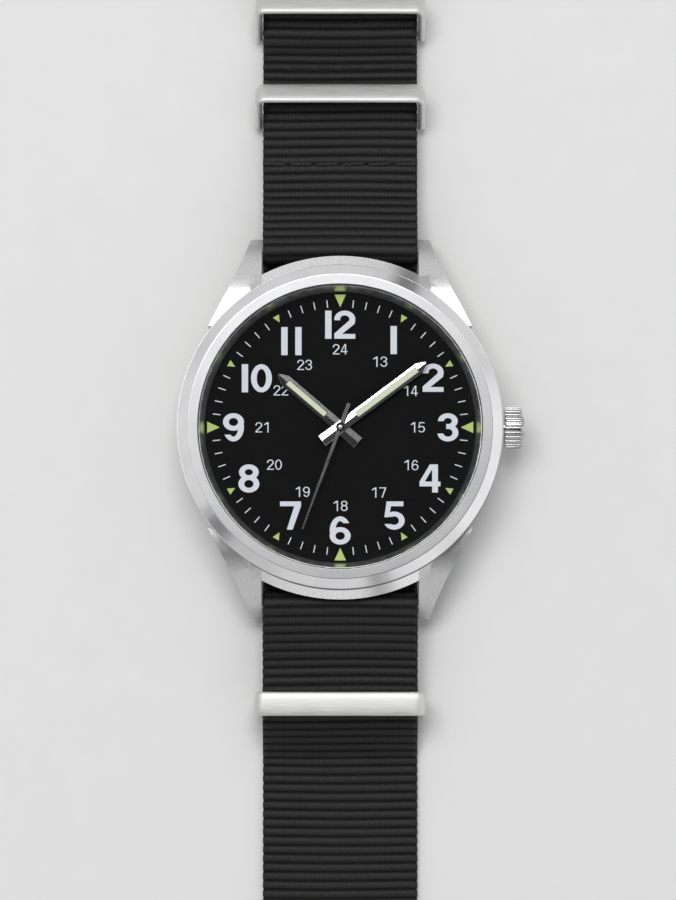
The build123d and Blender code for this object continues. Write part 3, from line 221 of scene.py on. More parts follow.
def brushed(name, tone, rough, grain_scale, contrast=0.12, tint=(1.0, 1.0, 0.99)):
    """Brushed metal: fine scratches along the axis of the least grain scale."""
    material, nodes, links, shader = new_material(name)
    shader.inputs["Metallic"].default_value = 1.0
    grain = noise(nodes, links, coordinates(nodes, links, grain_scale))
    low = [tone * (1 - contrast) * t for t in tint]
    high = [min(1.0, tone * (1 + contrast)) * t for t in tint]
    links.new(toned(nodes, links, grain, low, high), shader.inputs["Base Color"])
    links.new(spread(nodes, links, grain, rough * 0.8, rough * 1.25), shader.inputs["Roughness"])
    bump(nodes, links, shader, grain, 0.5, SCRATCH_DEPTH)
    return material


def polished(name, tone, rough):
    """Polished metal with faint smudges in its gloss."""
    material, nodes, links, shader = new_material(name)
    shader.inputs["Metallic"].default_value = 1.0
    cloud = noise(nodes, links, coordinates(nodes, links, grey(SMUDGES)))
    links.new(toned(nodes, links, cloud, grey(tone * 0.97), grey(tone)),
              shader.inputs["Base Color"])
    links.new(spread(nodes, links, cloud, rough * 0.8, rough * 1.3), shader.inputs["Roughness"])
    return material


def painted(name, colour, rough, contrast=0.15, grain=FINE_GRAIN, depth=3e-6, specular=0.5):
    """Ink, lacquer, lume, rubber or moulded plastic: fine grain and a slight tone change."""
    material, nodes, links, shader = new_material(name)
    shader.inputs["Specular IOR Level"].default_value = specular
    speck = noise(nodes, links, coordinates(nodes, links, grey(grain)), 3.0)
    low = [c * (1 - contrast) for c in colour]
    high = [min(1.0, c * (1 + contrast)) for c in colour]
    links.new(toned(nodes, links, speck, low, high), shader.inputs["Base Color"])
    links.new(spread(nodes, links, speck, rough * 0.9, min(1.0, rough * 1.1)),
              shader.inputs["Roughness"])
    bump(nodes, links, shader, speck, 0.4, depth)
    return material


def clear_crystal():
    """Clear mineral glass: see-through, and it reflects more toward a glancing angle."""
    material, nodes, links, shader = new_material("crystal_glass")
    smudge = noise(nodes, links, coordinates(nodes, links, grey(GLASS_SMUDGES)), 2.0)
    links.new(spread(nodes, links, smudge, 0.015, 0.04), shader.inputs["Roughness"])
    shader.inputs["Base Color"].default_value = (0.0, 0.0, 0.0, 1)
    shader.inputs["IOR"].default_value = GLASS_IOR
    through = nodes.new("ShaderNodeBsdfTransparent")
    edge = nodes.new("ShaderNodeLayerWeight")
    edge.inputs["Blend"].default_value = 0.5
    steep = arithmetic(nodes, links, "POWER", edge.outputs["Facing"], GLASS_STEEPNESS)
    blend = nodes.new("ShaderNodeMixShader")
    links.new(steep, blend.inputs["Fac"])
    links.new(through.outputs["BSDF"], blend.inputs[1])
    links.new(shader.outputs["BSDF"], blend.inputs[2])
    links.new(blend.outputs["Shader"], nodes["Material Output"].inputs["Surface"])
    return material


# The case's and the bezel's zones, by distance from the dial's axis or from its 12 to 6 line, and
# the width over which each turns into the next, in millimetres
FACET_RADIUS = 19.3
SKIRT_RADIUS = 20.72
SKIRT_HALF = 9.95
ZONE_BLUR = 0.02
LUG_BLUR = 0.05

# The zones' tones and roughness
CASE_TONES = (grey(0.60), grey(0.76))
BEZEL_TONES = ((0.4, (0.82, 0.82, 0.84)), (1.0, (0.93, 0.93, 0.94)))
SATIN_ROUGH = 0.34
FACET_ROUGH = 0.16
FLAT_RING_SHARE = 0.58
FLANK_ROUGH = 0.36
SKIRT_ROUGH = 0.17
SKIRT_LIFT = 1.35
TURNED_RINGS_SCALE = 22.0
TURNED_RINGS_SHARE = 0.6
TURNED_CLOUDS = 250
TURNED_DEPTH = 1.5e-6


def case_material():
    """Lugs and flanks brushed along the strap, with a smooth skirt between the lugs."""
    material, nodes, links, shader = new_material("case_steel")
    shader.inputs["Metallic"].default_value = 1.0
    grain = noise(nodes, links, coordinates(nodes, links, SCRATCHED_ALONG))
    where = nodes.new("ShaderNodeSeparateXYZ")
    links.new(coordinates(nodes, links, grey(1 / MM)), where.inputs["Vector"])
    side = arithmetic(nodes, links, "ABSOLUTE", where.outputs["X"])
    lug = threshold(nodes, links, side, SKIRT_HALF, LUG_BLUR)
    between = arithmetic(nodes, links, "SUBTRACT", 1.0, lug)
    outside = threshold(nodes, links, from_axis(nodes, links), SKIRT_RADIUS, ZONE_BLUR)
    skirt = arithmetic(nodes, links, "MULTIPLY", between, outside)
    steel = toned(nodes, links, grain, *CASE_TONES)
    lift = spread(nodes, links, skirt, 1.0, SKIRT_LIFT)
    links.new(scaled(nodes, links, steel, lift), shader.inputs["Base Color"])
    links.new(spread(nodes, links, skirt, FLANK_ROUGH, SKIRT_ROUGH), shader.inputs["Roughness"])
    scratched = arithmetic(nodes, links, "SUBTRACT", 1.0, skirt)
    relief = arithmetic(nodes, links, "MULTIPLY", grain, scratched)
    bump(nodes, links, shader, relief, 0.5, SCRATCH_DEPTH)
    return material


def bezel_material():
    """A satin flat ring, turned in fine circles, inside a smoother sloping facet."""
    material, nodes, links, shader = new_material("bezel_steel")
    shader.inputs["Metallic"].default_value = 1.0
    reach = from_axis(nodes, links)
    rings = nodes.new("ShaderNodeTexNoise")
    rings.noise_dimensions = "1D"
    rings.inputs["Scale"].default_value = TURNED_RINGS_SCALE
    rings.inputs["Detail"].default_value = 3.0
    links.new(reach, rings.inputs["W"])
    cloud = noise(nodes, links, coordinates(nodes, links, grey(TURNED_CLOUDS)), 3.0)
    grain = arithmetic(
        nodes, links, "MULTIPLY_ADD", rings.outputs["Fac"], TURNED_RINGS_SHARE, cloud,
    )
    steel = ramp(nodes, links, grain, BEZEL_TONES)
    facet = threshold(nodes, links, reach, FACET_RADIUS, ZONE_BLUR)
    dulling = spread(nodes, links, facet, FLAT_RING_SHARE, 1.0)
    links.new(scaled(nodes, links, steel, dulling), shader.inputs["Base Color"])
    links.new(spread(nodes, links, facet, SATIN_ROUGH, FACET_ROUGH), shader.inputs["Roughness"])
    bump(nodes, links, shader, grain, 0.3, TURNED_DEPTH)
    return material


# The seconds hand's tube: its profile as (radius, height over the hand), in millimetres, and how
# far out its bright pin's end reaches, beyond which the collar holds a painted dark reflection
HUB_PROFILE = (
    (0.56, -0.10), (0.56, 0.0), (0.53, 0.03), (0.35, 0.03), (0.31, -0.03), (0.27, -0.03),
    (0.25, 0.05), (0.20, 0.09), (0.12, 0.11), (0.04, 0.12),
)
HUB_PAINTED_DARK_RADIUS = 0.24
HUB_BLUR = 0.03
HUB_ROUGH = 0.18
# Painted dark reflection on the collar; the pin's end keeps a bright steel tone
HUB_PIN_AND_PAINTED_DARK_TONES = ((0.0, grey(0.85)), (1.0, grey(0.06)))


def hub_material():
    """Polished steel with a painted dark reflection on the collar, and bright on the pin's end."""
    material, nodes, links, shader = new_material("hub_steel_painted_reflection")
    shader.inputs["Metallic"].default_value = 1.0
    shader.inputs["Roughness"].default_value = HUB_ROUGH
    # Painted dark reflection: the collar's steel turns near-black outside the pin's end
    collar = threshold(nodes, links, from_axis(nodes, links), HUB_PAINTED_DARK_RADIUS, HUB_BLUR)
    links.new(ramp(nodes, links, collar, HUB_PIN_AND_PAINTED_DARK_TONES), shader.inputs["Base Color"])
    return material


# Webbing: the ribs along the strap, the yarns that cross them, and where a rib leaves its groove,
# below which the colour holds painted shade
RIB_PITCH = 1.13 * MM
RIB_HEIGHT = 0.3 * MM
RIB_POWER = 2.1
YARN_PITCH = 0.30 * MM
YARN_SCALE = 0.314
YARN_SHARE = 0.5
YARN_DEPTH = 80e-6
FUZZ = (3000, 9000, 9000)
# Yarn tones: the yarn bands' lighter crowns are painted highlights and their darker gaps are
# painted shade; the fuzz is a real tone change
YARN_TONES_AND_PAINTED_GLINTS = ((0.45, (0.004, 0.0038, 0.004)), (0.95, (0.017, 0.0165, 0.0165)))
GROOVE_TOP = 0.78
GROOVE_BLUR = 0.2
# The share of the yarn colour left in the grooves: painted shade
GROOVE_PAINTED_SHADE = 0.08
GROOVE_ROUGH = 0.85
CREST_ROUGH = 0.42


def webbing_material():
    """Black woven yarn with painted highlights on its yarns and painted shade in the grooves
    between its ribs, which are also duller.
    """
    material, nodes, links, shader = new_material("webbing")
    where = coordinates(nodes, links, (1 / YARN_PITCH, 1 / RIB_PITCH, 1 / RIB_PITCH))
    yarn = nodes.new("ShaderNodeTexWave")
    yarn.wave_type = "BANDS"
    yarn.bands_direction = "X"
    yarn.inputs["Scale"].default_value = YARN_SCALE
    yarn.inputs["Distortion"].default_value = 2.5
    yarn.inputs["Detail"].default_value = 2.0
    links.new(where, yarn.inputs["Vector"])
    fuzz = noise(nodes, links, coordinates(nodes, links, FUZZ))
    weave = arithmetic(nodes, links, "MULTIPLY_ADD", yarn.outputs["Fac"], YARN_SHARE, fuzz)
    crest = nodes.new("ShaderNodeAttribute")
    crest.attribute_name = "crest"
    raised = threshold(nodes, links, crest.outputs["Fac"], GROOVE_TOP, GROOVE_BLUR)
    # Painted shade: the colour darkens toward the grooves between ribs; the rougher grooves are
    # real
    shade = spread(nodes, links, raised, GROOVE_PAINTED_SHADE, 1.0)
    # Painted highlights and shade on the yarns, with real fuzz in the tone
    thread = ramp(nodes, links, weave, YARN_TONES_AND_PAINTED_GLINTS)
    links.new(scaled(nodes, links, thread, shade), shader.inputs["Base Color"])
    links.new(spread(nodes, links, raised, GROOVE_ROUGH, CREST_ROUGH), shader.inputs["Roughness"])
    shader.inputs["Specular IOR Level"].default_value = 0.34
    shader.inputs["Sheen Weight"].default_value = 0.02
    shader.inputs["Sheen Roughness"].default_value = 0.4
    bump(nodes, links, shader, weave, 0.8, YARN_DEPTH)
    return material


materials = {
    "case_steel": case_material(),
    "bezel_steel": bezel_material(),
    "hardware_steel": brushed("hardware_steel", 0.72, 0.56, SCRATCHED_ACROSS, contrast=0.1),
    "hand_steel": polished("hand_steel", 0.75, 0.12),
    "dark_steel": brushed("dark_steel", 0.42, 0.5, grey(FINE_GRAIN), contrast=0.25),
    "crystal": clear_crystal(),
    "dial_black": painted("dial_black", (0.007, 0.007, 0.0075), 0.8, specular=0.08),
    "print_white": painted("print_white", (0.74, 0.77, 0.83), 0.6, 0.04),
    "lume_green": painted("lume_green", (0.52, 0.62, 0.20), 0.8, 0.08),
    "lume_pale": painted("lume_pale", (0.74, 0.80, 0.60), 0.8, 0.06),
    "seal_rubber": painted("seal_rubber", (0.02, 0.02, 0.02), 0.8),
    "webbing": webbing_material(),
    "thread": painted("thread", (0.012, 0.012, 0.013), 0.6),
    "gear_brass": brushed("gear_brass", 0.8, 0.3, grey(3000), tint=(1.0, 0.78, 0.35)),
    "movement_plate": brushed("movement_plate", 0.72, 0.35, (500, 6000, 6000),
                              tint=(1.0, 0.97, 0.9)),
    "holder_plastic": painted("holder_plastic", (0.7, 0.69, 0.65), 0.6, 0.04),
    "board_green": painted("board_green", (0.03, 0.16, 0.07), 0.4),
    "coil_copper": brushed("coil_copper", 0.75, 0.3, (20000, 500, 500), tint=(1.0, 0.5, 0.25)),
    "cell_steel": brushed("cell_steel", 0.75, 0.3, grey(2000), contrast=0.05),
}


# Nodes with a finish of their own within their slot; the darkened steel of the hour and seconds
# hands is painted dark reflection
FINISHES_AND_PAINTED_REFLECTIONS = {
    "inner_ring": brushed("inner_ring_steel", 0.95, 0.36, grey(3000), contrast=0.06),
    "crown": polished("crown_steel", 0.5, 0.2),
    # Painted dark reflection: the hour and seconds hands are darker copies of the polished hand
    # steel
    "hour_hand": polished("hour_hand_painted_dark_steel", 0.34, 0.12),
    "seconds_hand": polished("seconds_hand_painted_dark_steel", 0.24, 0.2),
}


def material_of(node):
    """A node's own material, painted dark reflection on two hands included, or its slot's material.
    """
    return FINISHES_AND_PAINTED_REFLECTIONS.get(node, materials[SLOT_OF[node]])


def dress_nodes():
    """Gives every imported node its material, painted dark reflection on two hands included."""
    for name in SLOT_OF:
        mesh = frame["nodes"][name].data
        mesh.materials.clear()
        mesh.materials.append(material_of(name))


# Softened edges: turns that count as an edge, and the width of each node's rounding or chamfer
SHARP_TURN = radians(25)
FACET_TURN = radians(35)
SMOOTH_TURN = radians(40)
COPLANAR_TURN = radians(0.5)
MERGE_DISTANCE = 1e-7
ROUND_SEGMENTS = 4
SOFT_EDGES = {
    "case_middle": 0.12 * MM, "bezel": 0.09 * MM, "crown": 0.05 * MM, "buckle_frame": 0.2 * MM,
    "buckle_tang": 0.1 * MM, "case_back": 0.08 * MM, "inner_ring": 0.03 * MM,
    "hour_hand_lume": 0.06 * MM, "minute_hand_lume": 0.06 * MM,
}
CHAMFERS = {"hour_hand": 0.05 * MM, "minute_hand": 0.05 * MM, "seconds_hand": 0.04 * MM}


def soften(node, width, faceted=False):
    """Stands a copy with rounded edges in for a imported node, or with plain chamfers."""
    shape = bmesh.new()
    shape.from_mesh(frame["nodes"][node].data)
    bmesh.ops.remove_doubles(shape, verts=shape.verts, dist=MERGE_DISTANCE)
    bmesh.ops.dissolve_limit(
        shape, angle_limit=COPLANAR_TURN, verts=shape.verts, edges=shape.edges,
    )
    least_turn = FACET_TURN if faceted else SHARP_TURN
    sharp = [
        edge for edge in shape.edges
        if len(edge.link_faces) == 2 and edge.calc_face_angle() > least_turn
    ]
    bmesh.ops.bevel(
        shape, geom=sharp, offset=width, offset_type="OFFSET",
        segments=1 if faceted else ROUND_SEGMENTS, profile=0.5, affect="EDGES", clamp_overlap=True,
    )
    mesh = bpy.data.meshes.new(node + "_finished")
    shape.to_mesh(mesh)
    shape.free()
    mesh.materials.append(material_of(node))
    piece = bpy.data.objects.new(node + "_finished", mesh)
    bpy.context.collection.objects.link(piece)
    if not faceted:
        mesh.shade_smooth()
        mesh.set_sharp_from_angle(angle=SMOOTH_TURN)
        weights = piece.modifiers.new("weights", "WEIGHTED_NORMAL")
        weights.keep_sharp = True
    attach(piece, BODY_OF[node])
    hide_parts(node)


# The strap's thickness and its routes, in millimetres: along Y, up Z, bend radius. They repeat the
# model's.
WEBBING = 1.1
LONG_ROUTE = (
    (32.2, 1.75, 0), (35.6, 1.75, 2.5), (37.6, 0.55, 2.5), (63.45, 0.55, 1.4065),
    (63.45, 3.45, 1.4065), (59.0, 3.45, 2.5), (57.0, 2.95, 2.5), (50.2, 2.95, 2.5),
    (48.2, 1.75, 2.5), (45.0, 1.75, 2.5), (43.0, 2.95, 2.5), (30.0, 2.95, 2.5),
    (21.37, 6.631, 1.33), (21.37, 1.75, 1.5), (-21.37, 1.75, 1.5), (-21.37, 6.345, 1.33),
    (-30.0, 4.05, 2.5), (-36.8, 4.05, 2.5), (-42.0, 0.55, 2.5), (-195.0, 0.55, 0),
)
SHORT_ROUTE = (
    (34.8, 0.55, 0), (-35.45, 0.55, 1.1155), (-35.45, 2.85, 1.1155), (-33.8, 2.85, 2.5),
    (-31.2, 1.75, 2.5), (-25.4, 1.75, 0),
)


# The turn between two points of a route's bend
BEND_TURN = radians(6)


def route_samples(route, spacing):
    """Lengths, points and tangents at even spaces along a route with round corners, in metres."""
    points = [Vector((y, z)) * MM for y, z, bend in route]
    line = [points[0]]
    for before, point, after, (y, z, bend) in zip(points, points[1:], points[2:], route[1:-1]):
        into = (point - before).normalized()
        out = (after - point).normalized()
        turn = into.angle_signed(out)
        reach = bend * MM * tan(abs(turn) / 2)
        start = point - into * reach
        side = Vector((into.y, -into.x)) * (1 if turn > 0 else -1)
        centre = start + side * bend * MM
        pieces = max(2, ceil(abs(turn) / BEND_TURN))
        for number in range(pieces + 1):
            arm = start - centre
            arm.rotate(Matrix.Rotation(-turn * number / pieces, 2))
            line.append(centre + arm)
    line.append(points[-1])
    lengths = [0.0]
    for start, end in zip(line, line[1:]):
        lengths.append(lengths[-1] + (end - start).length)
    count = round(lengths[-1] / spacing)
    samples = []
    segment = 0
    for number in range(count + 1):
        along = lengths[-1] * number / count
        while segment < len(line) - 2 and lengths[segment + 1] < along:
            segment += 1
        part = lengths[segment + 1] - lengths[segment]
        share = (along - lengths[segment]) / part if part else 0.0
        point = line[segment].lerp(line[segment + 1], share)
        tangent = (line[segment + 1] - line[segment]).normalized()
        samples.append((along, point, tangent))
    return samples


# Webbing meshes: points to a rib and across the width, how the edges thin and scallop, how the
# ribs waver, and the rounded tip
RIB_STEPS = 8
CROSS_STEPS = 26
CROSS_EASE = 0.35
EDGE_ROUND = 0.35 * MM
EDGE_THIN = 0.45
SCALLOP = 0.12 * MM
WAVER = 0.07 * MM
WAVER_TURNS = 2.3
SWAY = 1.7
SWAY_LENGTH = 9 * MM
TIP_LENGTH = 9.0 * MM
TIP_SHARE = 0.28


def rib_profile(along):
    """0 in the groove between two ribs, 1 on a rib's crown."""
    across = 2 * (along / RIB_PITCH % 1) - 1
    return sqrt(max(0.0, 1 - abs(across) ** RIB_POWER))


def circle(count):
    """Cosines and sines of even turns round a circle."""
    turns = [2 * pi * number / count for number in range(count)]
    return [(cos(turn), sin(turn)) for turn in turns]


def tube_faces(start, size, rings):
    """Faces of a tube through rings of points, from a first point on, with a cap at each end."""
    faces = []
    for ring in range(rings - 1):
        base = start + ring * size
        for number in range(size):
            after = (number + 1) % size
            faces.append((
                base + number, base + after, base + size + after, base + size + number,
            ))
    last = start + (rings - 1) * size
    faces.append(tuple(reversed(range(start, start + size))))
    faces.append(tuple(range(last, last + size)))
    return faces


def mesh_piece(name, vertices, faces, material, smooth=True):
    """An object made of points and faces, in the world's frame."""
    mesh = bpy.data.meshes.new(name)
    mesh.from_pydata(vertices, [], faces)
    mesh.validate()
    mesh.update()
    if smooth:
        mesh.shade_smooth()
    mesh.materials.append(material)
    piece = bpy.data.objects.new(name, mesh)
    bpy.context.collection.objects.link(piece)
    return piece


def webbing_piece(name, route, node, tip):
    """A ribbed ribbon of webbing along a route, with rounded and slightly scalloped edges."""
    low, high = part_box(node)
    half_width = (high.x - low.x) / 2
    half = WEBBING * MM / 2
    samples = route_samples(route, RIB_PITCH / RIB_STEPS)
    total = samples[-1][0]
    vertices = []
    crests = []
    columns = [2 * number / CROSS_STEPS - 1 for number in range(CROSS_STEPS + 1)]
    columns = [sin(c * pi / 2) * CROSS_EASE + c * (1 - CROSS_EASE) for c in columns]
    for along, point, tangent in samples:
        rib = rib_profile(along)
        reach = half_width - SCALLOP * (1 - rib)
        if tip:
            left = total - along
            if left < TIP_LENGTH:
                taper = left / TIP_LENGTH
                reach *= TIP_SHARE + (1 - TIP_SHARE) * sqrt(max(0.0, 1 - (1 - taper) ** 2))
        normal = Vector((-tangent.y, tangent.x))
        sway = SWAY * sin(along / SWAY_LENGTH)
        for side in (1, -1):
            for column in columns if side > 0 else reversed(columns):
                x = column * reach
                rim = max(0.0, 1 - (reach - abs(x)) / EDGE_ROUND)
                crest = rib_profile(along + WAVER * sin(WAVER_TURNS * column + sway))
                thick = half * (1 - EDGE_THIN * rim * rim) - RIB_HEIGHT * (1 - crest)
                offset = point + normal * side * thick
                crests.append(crest)
                vertices.append(Vector((x, offset.x, max(0.0, offset.y))))
    faces = tube_faces(0, 2 * len(columns), len(samples))
    piece = mesh_piece(name, vertices, faces, materials["webbing"])
    # The crest attribute also drives the painted shade in the webbing's grooves
    piece.data.attributes.new("crest", "FLOAT", "POINT").data.foreach_set("value", crests)
    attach(piece, "case")
    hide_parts(node)
    return piece


def cut(piece, cutter):
    """Cuts one mesh out of another and drops the cutter."""
    modifier = piece.modifiers.new("cut", "BOOLEAN")
    modifier.operation = "DIFFERENCE"
    modifier.solver = "EXACT"
    modifier.object = cutter
    bpy.context.view_layer.objects.active = piece
    with bpy.context.temp_override(object=piece, active_object=piece, selected_objects=[piece]):
        bpy.ops.object.modifier_apply(modifier=modifier.name)
    mesh = cutter.data
    bpy.data.objects.remove(cutter)
    bpy.data.meshes.remove(mesh)


# The strap's holes, counted from its tip, and the slot for the buckle's tang. The cutters reach
# past the webbing on both sides.
HOLE_RADIUS = 1.15 * MM
HOLE_PITCH = 6.0 * MM
HOLE_COUNT = 11
HOLE_SIDES = 24
FIRST_HOLE = 24.0 * MM
HOLE_CUT = 3 * MM
SLOT_LOW = (-1.5 * MM, 57.0 * MM, -1 * MM)
SLOT_HIGH = (1.5 * MM, 64.5 * MM, 8 * MM)


def hole_cutter(y):
    """A closed upright post across the strap."""
    vertices = [
        (HOLE_RADIUS * c, y + HOLE_RADIUS * s, level)
        for level in (-HOLE_CUT, HOLE_CUT) for c, s in circle(HOLE_SIDES)
    ]
    faces = tube_faces(0, HOLE_SIDES, 2)
    return mesh_piece("cutter", vertices, faces, materials["webbing"], smooth=False)


def slot_cutter():
    """A closed box between the slot's corners."""
    xs, ys, zs = zip(SLOT_LOW, SLOT_HIGH)
    vertices = [(x, y, z) for z in zs for y in ys for x in xs]
    faces = ((0, 2, 3, 1), (4, 5, 7, 6), (0, 1, 5, 4), (2, 6, 7, 3), (0, 4, 6, 2), (1, 3, 7, 5))
    return mesh_piece("cutter", vertices, faces, materials["webbing"], smooth=False)


def strap():
    """Both lengths of webbing, with the holes and the slot cut."""
    long_strap = webbing_piece("strap_long_webbing", LONG_ROUTE, "strap_long", tip=True)
    webbing_piece("strap_short_webbing", SHORT_ROUTE, "strap_short", tip=False)
    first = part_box("strap_long")[0].y + FIRST_HOLE
    cutters = bmesh.new()
    for number in range(HOLE_COUNT):
        hole = hole_cutter(first + number * HOLE_PITCH)
        cutters.from_mesh(hole.data)
        bpy.data.objects.remove(hole)
    slot = slot_cutter()
    cutters.from_mesh(slot.data)
    cutters.to_mesh(slot.data)
    cutters.free()
    cut(long_strap, slot)


LATHE_SIDES = 48


def lathe(name, profile, material):
    """A piece turned about the dial's axis from (radius, height) points, closed at both ends."""
    vertices = [
        (reach * c, reach * s, level) for reach, level in profile for c, s in circle(LATHE_SIDES)
    ]
    piece = mesh_piece(name, vertices, tube_faces(0, LATHE_SIDES, len(profile)), material)
    piece.data.set_sharp_from_angle(angle=SMOOTH_TURN)
    return piece


def hub_cap():
    """The seconds hand's tube: a flat collar, a groove and the domed end of its pin."""
    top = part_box("seconds_hand")[1].z
    profile = [(reach * MM, top + level * MM) for reach, level in HUB_PROFILE]
    cap = lathe("seconds_hub", profile, hub_material())
    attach(cap, "seconds")


# Stitches: two plies twisted together, which dive into the webbing at both ends and lean a little,
# each its own way
ROW_GAP = 2 * MM
STITCH_LENGTH = 3.1 * MM
STITCH_PITCH = 3.35 * MM
STITCH_COUNT = 6
STITCH_LEAN = 0.08 * MM
STITCH_RISE = 0.06 * MM
STITCH_DIVE = 0.4 * MM
DIVE_POWER = 6
PLY_RADIUS = 0.15 * MM
PLY_OFFSET = 0.11 * MM
PLY_FLATNESS = 0.6
PLY_TURNS = 2.5
PLY_STEPS = 26
PLY_SIDES = 8


def stitch_rows():
    """Each row's place along the strap and the height of the webbing under it."""
    source = frame["nodes"]["stitches"]
    points = sorted((v.co.y, v.co.z) for v in source.data.vertices)
    rows = [[points[0]]]
    for point in points[1:]:
        if point[0] - rows[-1][-1][0] > ROW_GAP:
            rows.append([])
        rows[-1].append(point)
    return [((row[0][0] + row[-1][0]) / 2, min(point[1] for point in row)) for row in rows]


def ply_rings(middle, row_y, row_z, lean, phase):
    """The rings of points along one twisted ply of a stitch."""
    points = []
    for number in range(PLY_STEPS + 1):
        share = number / PLY_STEPS
        dive = STITCH_DIVE * abs(2 * share - 1) ** DIVE_POWER
        twist = phase + 2 * pi * PLY_TURNS * share
        x = middle + (share - 0.5) * STITCH_LENGTH
        y = row_y + lean * (2 * share - 1) + PLY_OFFSET * cos(twist)
        z = row_z + STITCH_RISE + PLY_OFFSET * PLY_FLATNESS * sin(twist) - dive
        points += [(x, y + PLY_RADIUS * c, z + PLY_RADIUS * s) for c, s in circle(PLY_SIDES)]
    return points


def stitches():
    """Twisted thread between the holes of each row."""
    vertices = []
    faces = []
    for row_y, row_z in stitch_rows():
        for number in range(STITCH_COUNT):
            middle = (number - (STITCH_COUNT - 1) / 2) * STITCH_PITCH
            lean = STITCH_LEAN * sin(7 * number + 900 * row_y)
            for phase in (0, pi):
                faces += tube_faces(len(vertices), PLY_SIDES, PLY_STEPS + 1)
                vertices += ply_rings(middle, row_y, row_z, lean, phase)
    piece = mesh_piece("thread_stitches", vertices, faces, materials["thread"])
    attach(piece, "case")
    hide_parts("stitches")


# Loops round the strap: a swept strip with a rounded section, legs that narrow to round feet,
# and a round lower bar
LOOP_LEANS = {"keeper_near": radians(38), "keeper_far": radians(38), "end_ring": 0.0}
LOOP_FOOT = 0.75 * MM
LOOP_BAR_HALF = 0.45 * MM
LOOP_TOP = 5.95 * MM
LOOP_SHOULDER = 3.35 * MM
LOOP_DEPTH = 3.05 * MM
LOOP_LEG_X = 10.45 * MM
LOOP_BEND = 0.8 * MM
LOOP_LOW_RADIUS = 0.5 * MM
LOOP_LEAST_HALF = 0.02 * MM
SECTION_POINTS = 28
SECTION_POWER = 0.72
FOOT_STEPS = 8
LEG_STEPS = 9
BEND_STEPS = 10
TOP_STEPS = 12


def loop_depth(rise):
    """How deep the strip is at a height above its lower bar."""
    if rise < 0:
        return 2 * sqrt(max(0.0, LOOP_FOOT ** 2 - rise ** 2))
    return 2 * LOOP_FOOT + (LOOP_DEPTH - 2 * LOOP_FOOT) * min(1.0, rise / LOOP_SHOULDER)


def loop_path():
    """Places (x, rise) along the strip, with the way outward at each, from foot to foot."""
    bar_rise = LOOP_TOP - LOOP_BAR_HALF
    places = []
    for number in range(FOOT_STEPS + 1):
        rise = -LOOP_FOOT * cos(pi / 2 * number / FOOT_STEPS)
        places.append((-LOOP_LEG_X, rise, -1.0, 0.0))
    for number in range(1, LEG_STEPS + 1):
        rise = (bar_rise - LOOP_BEND) * number / LEG_STEPS
        places.append((-LOOP_LEG_X, rise, -1.0, 0.0))
    for number in range(1, BEND_STEPS + 1):
        turn = pi / 2 * number / BEND_STEPS
        places.append((
            -LOOP_LEG_X + LOOP_BEND * (1 - cos(turn)), bar_rise - LOOP_BEND * (1 - sin(turn)),
            -cos(turn), sin(turn),
        ))
    for number in range(1, TOP_STEPS + 1):
        across = (LOOP_LEG_X - LOOP_BEND) * (1 - number / TOP_STEPS)
        places.append((-across, bar_rise, 0.0, 1.0))
    mirrored = [(-x, rise, -out, up) for x, rise, out, up in reversed(places[:-1])]
    return places + mirrored


def signed_power(value):
    """Squares a circle's sine or cosine up toward a rounded rectangle."""
    return abs(value) ** SECTION_POWER * (1 if value >= 0 else -1)


def loop(node, lean):
    """Stands a rounded loop in for a packed one, leaning toward 12 o'clock."""
    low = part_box(node)[0]
    foot = Vector((0, low.y + LOOP_FOOT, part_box("end_ring")[1].z - LOOP_TOP))
    upward = Vector((0, sin(lean), cos(lean)))
    deep = Vector((0, cos(lean), -sin(lean)))
    sideways = Vector((1, 0, 0))
    path = loop_path()
    vertices = []
    for x, rise, out, up in path:
        half = max(loop_depth(rise) / 2, LOOP_LEAST_HALF)
        middle = foot + sideways * x + upward * rise
        outward = sideways * out + upward * up
        for c, s in circle(SECTION_POINTS):
            vertices.append(
                middle + deep * half * signed_power(c) + outward * LOOP_BAR_HALF * signed_power(s)
            )
    faces = tube_faces(0, SECTION_POINTS, len(path))
    faces += tube_faces(len(vertices), SECTION_POINTS, 2)
    for x in (-LOOP_LEG_X, LOOP_LEG_X):
        for c, s in circle(SECTION_POINTS):
            vertices.append(foot + sideways * x + (deep * c + upward * s) * LOOP_LOW_RADIUS)
    piece = mesh_piece(node + "_finished", vertices, faces, materials["hardware_steel"])
    shape = bmesh.new()
    shape.from_mesh(piece.data)
    bmesh.ops.recalc_face_normals(shape, faces=shape.faces)
    shape.to_mesh(piece.data)
    shape.free()
    piece.data.set_sharp_from_angle(angle=SMOOTH_TURN)
    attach(piece, BODY_OF[node])
    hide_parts(node)


# Lamps: place and size in metres, power in watts. The key lamp is overhead, toward 12 o'clock.
LAMPS = (
    ("key", (-0.1, 0.32, 0.88), (0.6, 0.35), 4.2),
    ("left", (-0.7, -0.05, 0.5), (0.8, 1.1), 0.35),
    ("front", (0.1, -0.75, 0.55), (1.0, 0.8), 0.25),
    ("right", (0.7, -0.1, 0.45), (0.8, 1.1), 0.45),
)
PLAIN_LIGHT = (0.95, 0.97, 1.0, 1)
PLAIN_STRENGTH = 0.42
# The way that the dark patch of ceiling lies from the watch, leaning away from 11 o'clock
PATCH_WAY = (0.15, -0.12, 0.98)
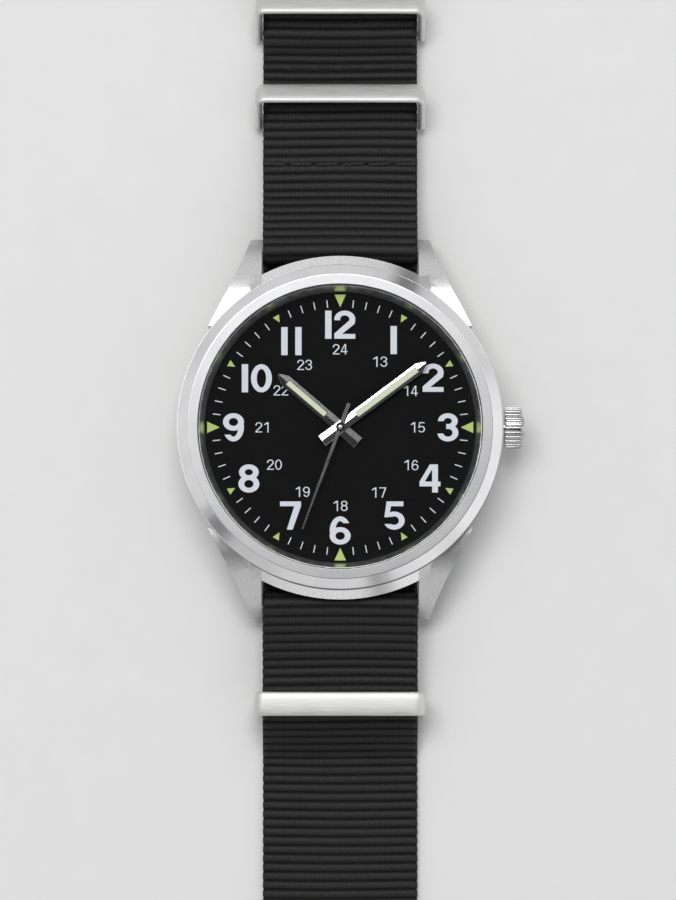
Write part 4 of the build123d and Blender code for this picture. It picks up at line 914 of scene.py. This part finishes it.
# Brightness from the walls up to the dark patch, and round the watch from 9 o'clock anticlockwise,
# with three dark gaps
WALL_SHADES = (
    (0.0, 0.45), (0.3, 0.72), (0.55, 0.62), (0.78, 0.85), (0.85, 0.85), (0.875, 0.10), (1.0, 0.04),
)
ROOM_SHADES = (
    (0.0, 0.85), (0.08, 0.8), (0.09, 0.3), (0.11, 0.3), (0.125, 0.8), (0.275, 0.9),
    (0.285, 0.3), (0.297, 0.3), (0.307, 0.95), (0.5, 1.1), (0.64, 1.05), (0.668, 0.95),
    (0.677, 0.2), (0.692, 0.2), (0.702, 0.9), (0.75, 1.0), (0.85, 1.05), (1.0, 0.85),
)


FLOOR_SIZE = 3


def shades(nodes, links, factor, levels):
    """Greys along a factor, from (position, level) pairs."""
    return ramp(nodes, links, factor, [(place, grey(level)) for place, level in levels])


def room():
    """A pale room with a dark patch of ceiling overhead, which only metal and glass reflect."""
    world = bpy.data.worlds.new("room")
    bpy.context.scene.world = world
    world.use_nodes = True
    nodes = world.node_tree.nodes
    links = world.node_tree.links
    plain = nodes["Background"]
    plain.inputs["Color"].default_value = PLAIN_LIGHT
    plain.inputs["Strength"].default_value = PLAIN_STRENGTH
    where = nodes.new("ShaderNodeTexCoord")
    toward = nodes.new("ShaderNodeVectorMath")
    toward.operation = "DOT_PRODUCT"
    links.new(where.outputs["Generated"], toward.inputs[0])
    toward.inputs[1].default_value = PATCH_WAY
    seen = nodes.new("ShaderNodeBackground")
    walls = shades(nodes, links, toward.outputs["Value"], WALL_SHADES)
    around = nodes.new("ShaderNodeTexGradient")
    around.gradient_type = "RADIAL"
    links.new(where.outputs["Generated"], around.inputs["Vector"])
    shade = shades(nodes, links, around.outputs["Fac"], ROOM_SHADES)
    dappled = nodes.new("ShaderNodeVectorMath")
    dappled.operation = "MULTIPLY"
    links.new(walls, dappled.inputs[0])
    links.new(shade, dappled.inputs[1])
    links.new(dappled.outputs["Vector"], seen.inputs["Color"])
    rays = nodes.new("ShaderNodeLightPath")
    glossy = arithmetic(
        nodes, links, "MAXIMUM", rays.outputs["Is Glossy Ray"], rays.outputs["Is Transmission Ray"],
    )
    visible = arithmetic(nodes, links, "MAXIMUM", glossy, rays.outputs["Is Camera Ray"])
    blend = nodes.new("ShaderNodeMixShader")
    links.new(visible, blend.inputs["Fac"])
    links.new(plain.outputs["Background"], blend.inputs[1])
    links.new(seen.outputs["Background"], blend.inputs[2])
    links.new(blend.outputs["Shader"], nodes["World Output"].inputs["Surface"])


camera()
dress_nodes()
for node, lean in LOOP_LEANS.items():
    loop(node, lean)
for node, width in SOFT_EDGES.items():
    soften(node, width)
for node, width in CHAMFERS.items():
    soften(node, width, faceted=True)
strap()
stitches()
hub_cap()
for name, place, size, power in LAMPS:
    lamp(name, place, size, power)
room()

bpy.ops.mesh.primitive_plane_add(size=FLOOR_SIZE, location=(0, 0, 0))
floor = bpy.context.object
floor.name = "floor"
floor.data.materials.append(painted("floor_pale", (0.86, 0.855, 0.84), 0.7, 0.01, 200, 1e-6))

bpy.context.scene.view_settings.view_transform = "Standard"
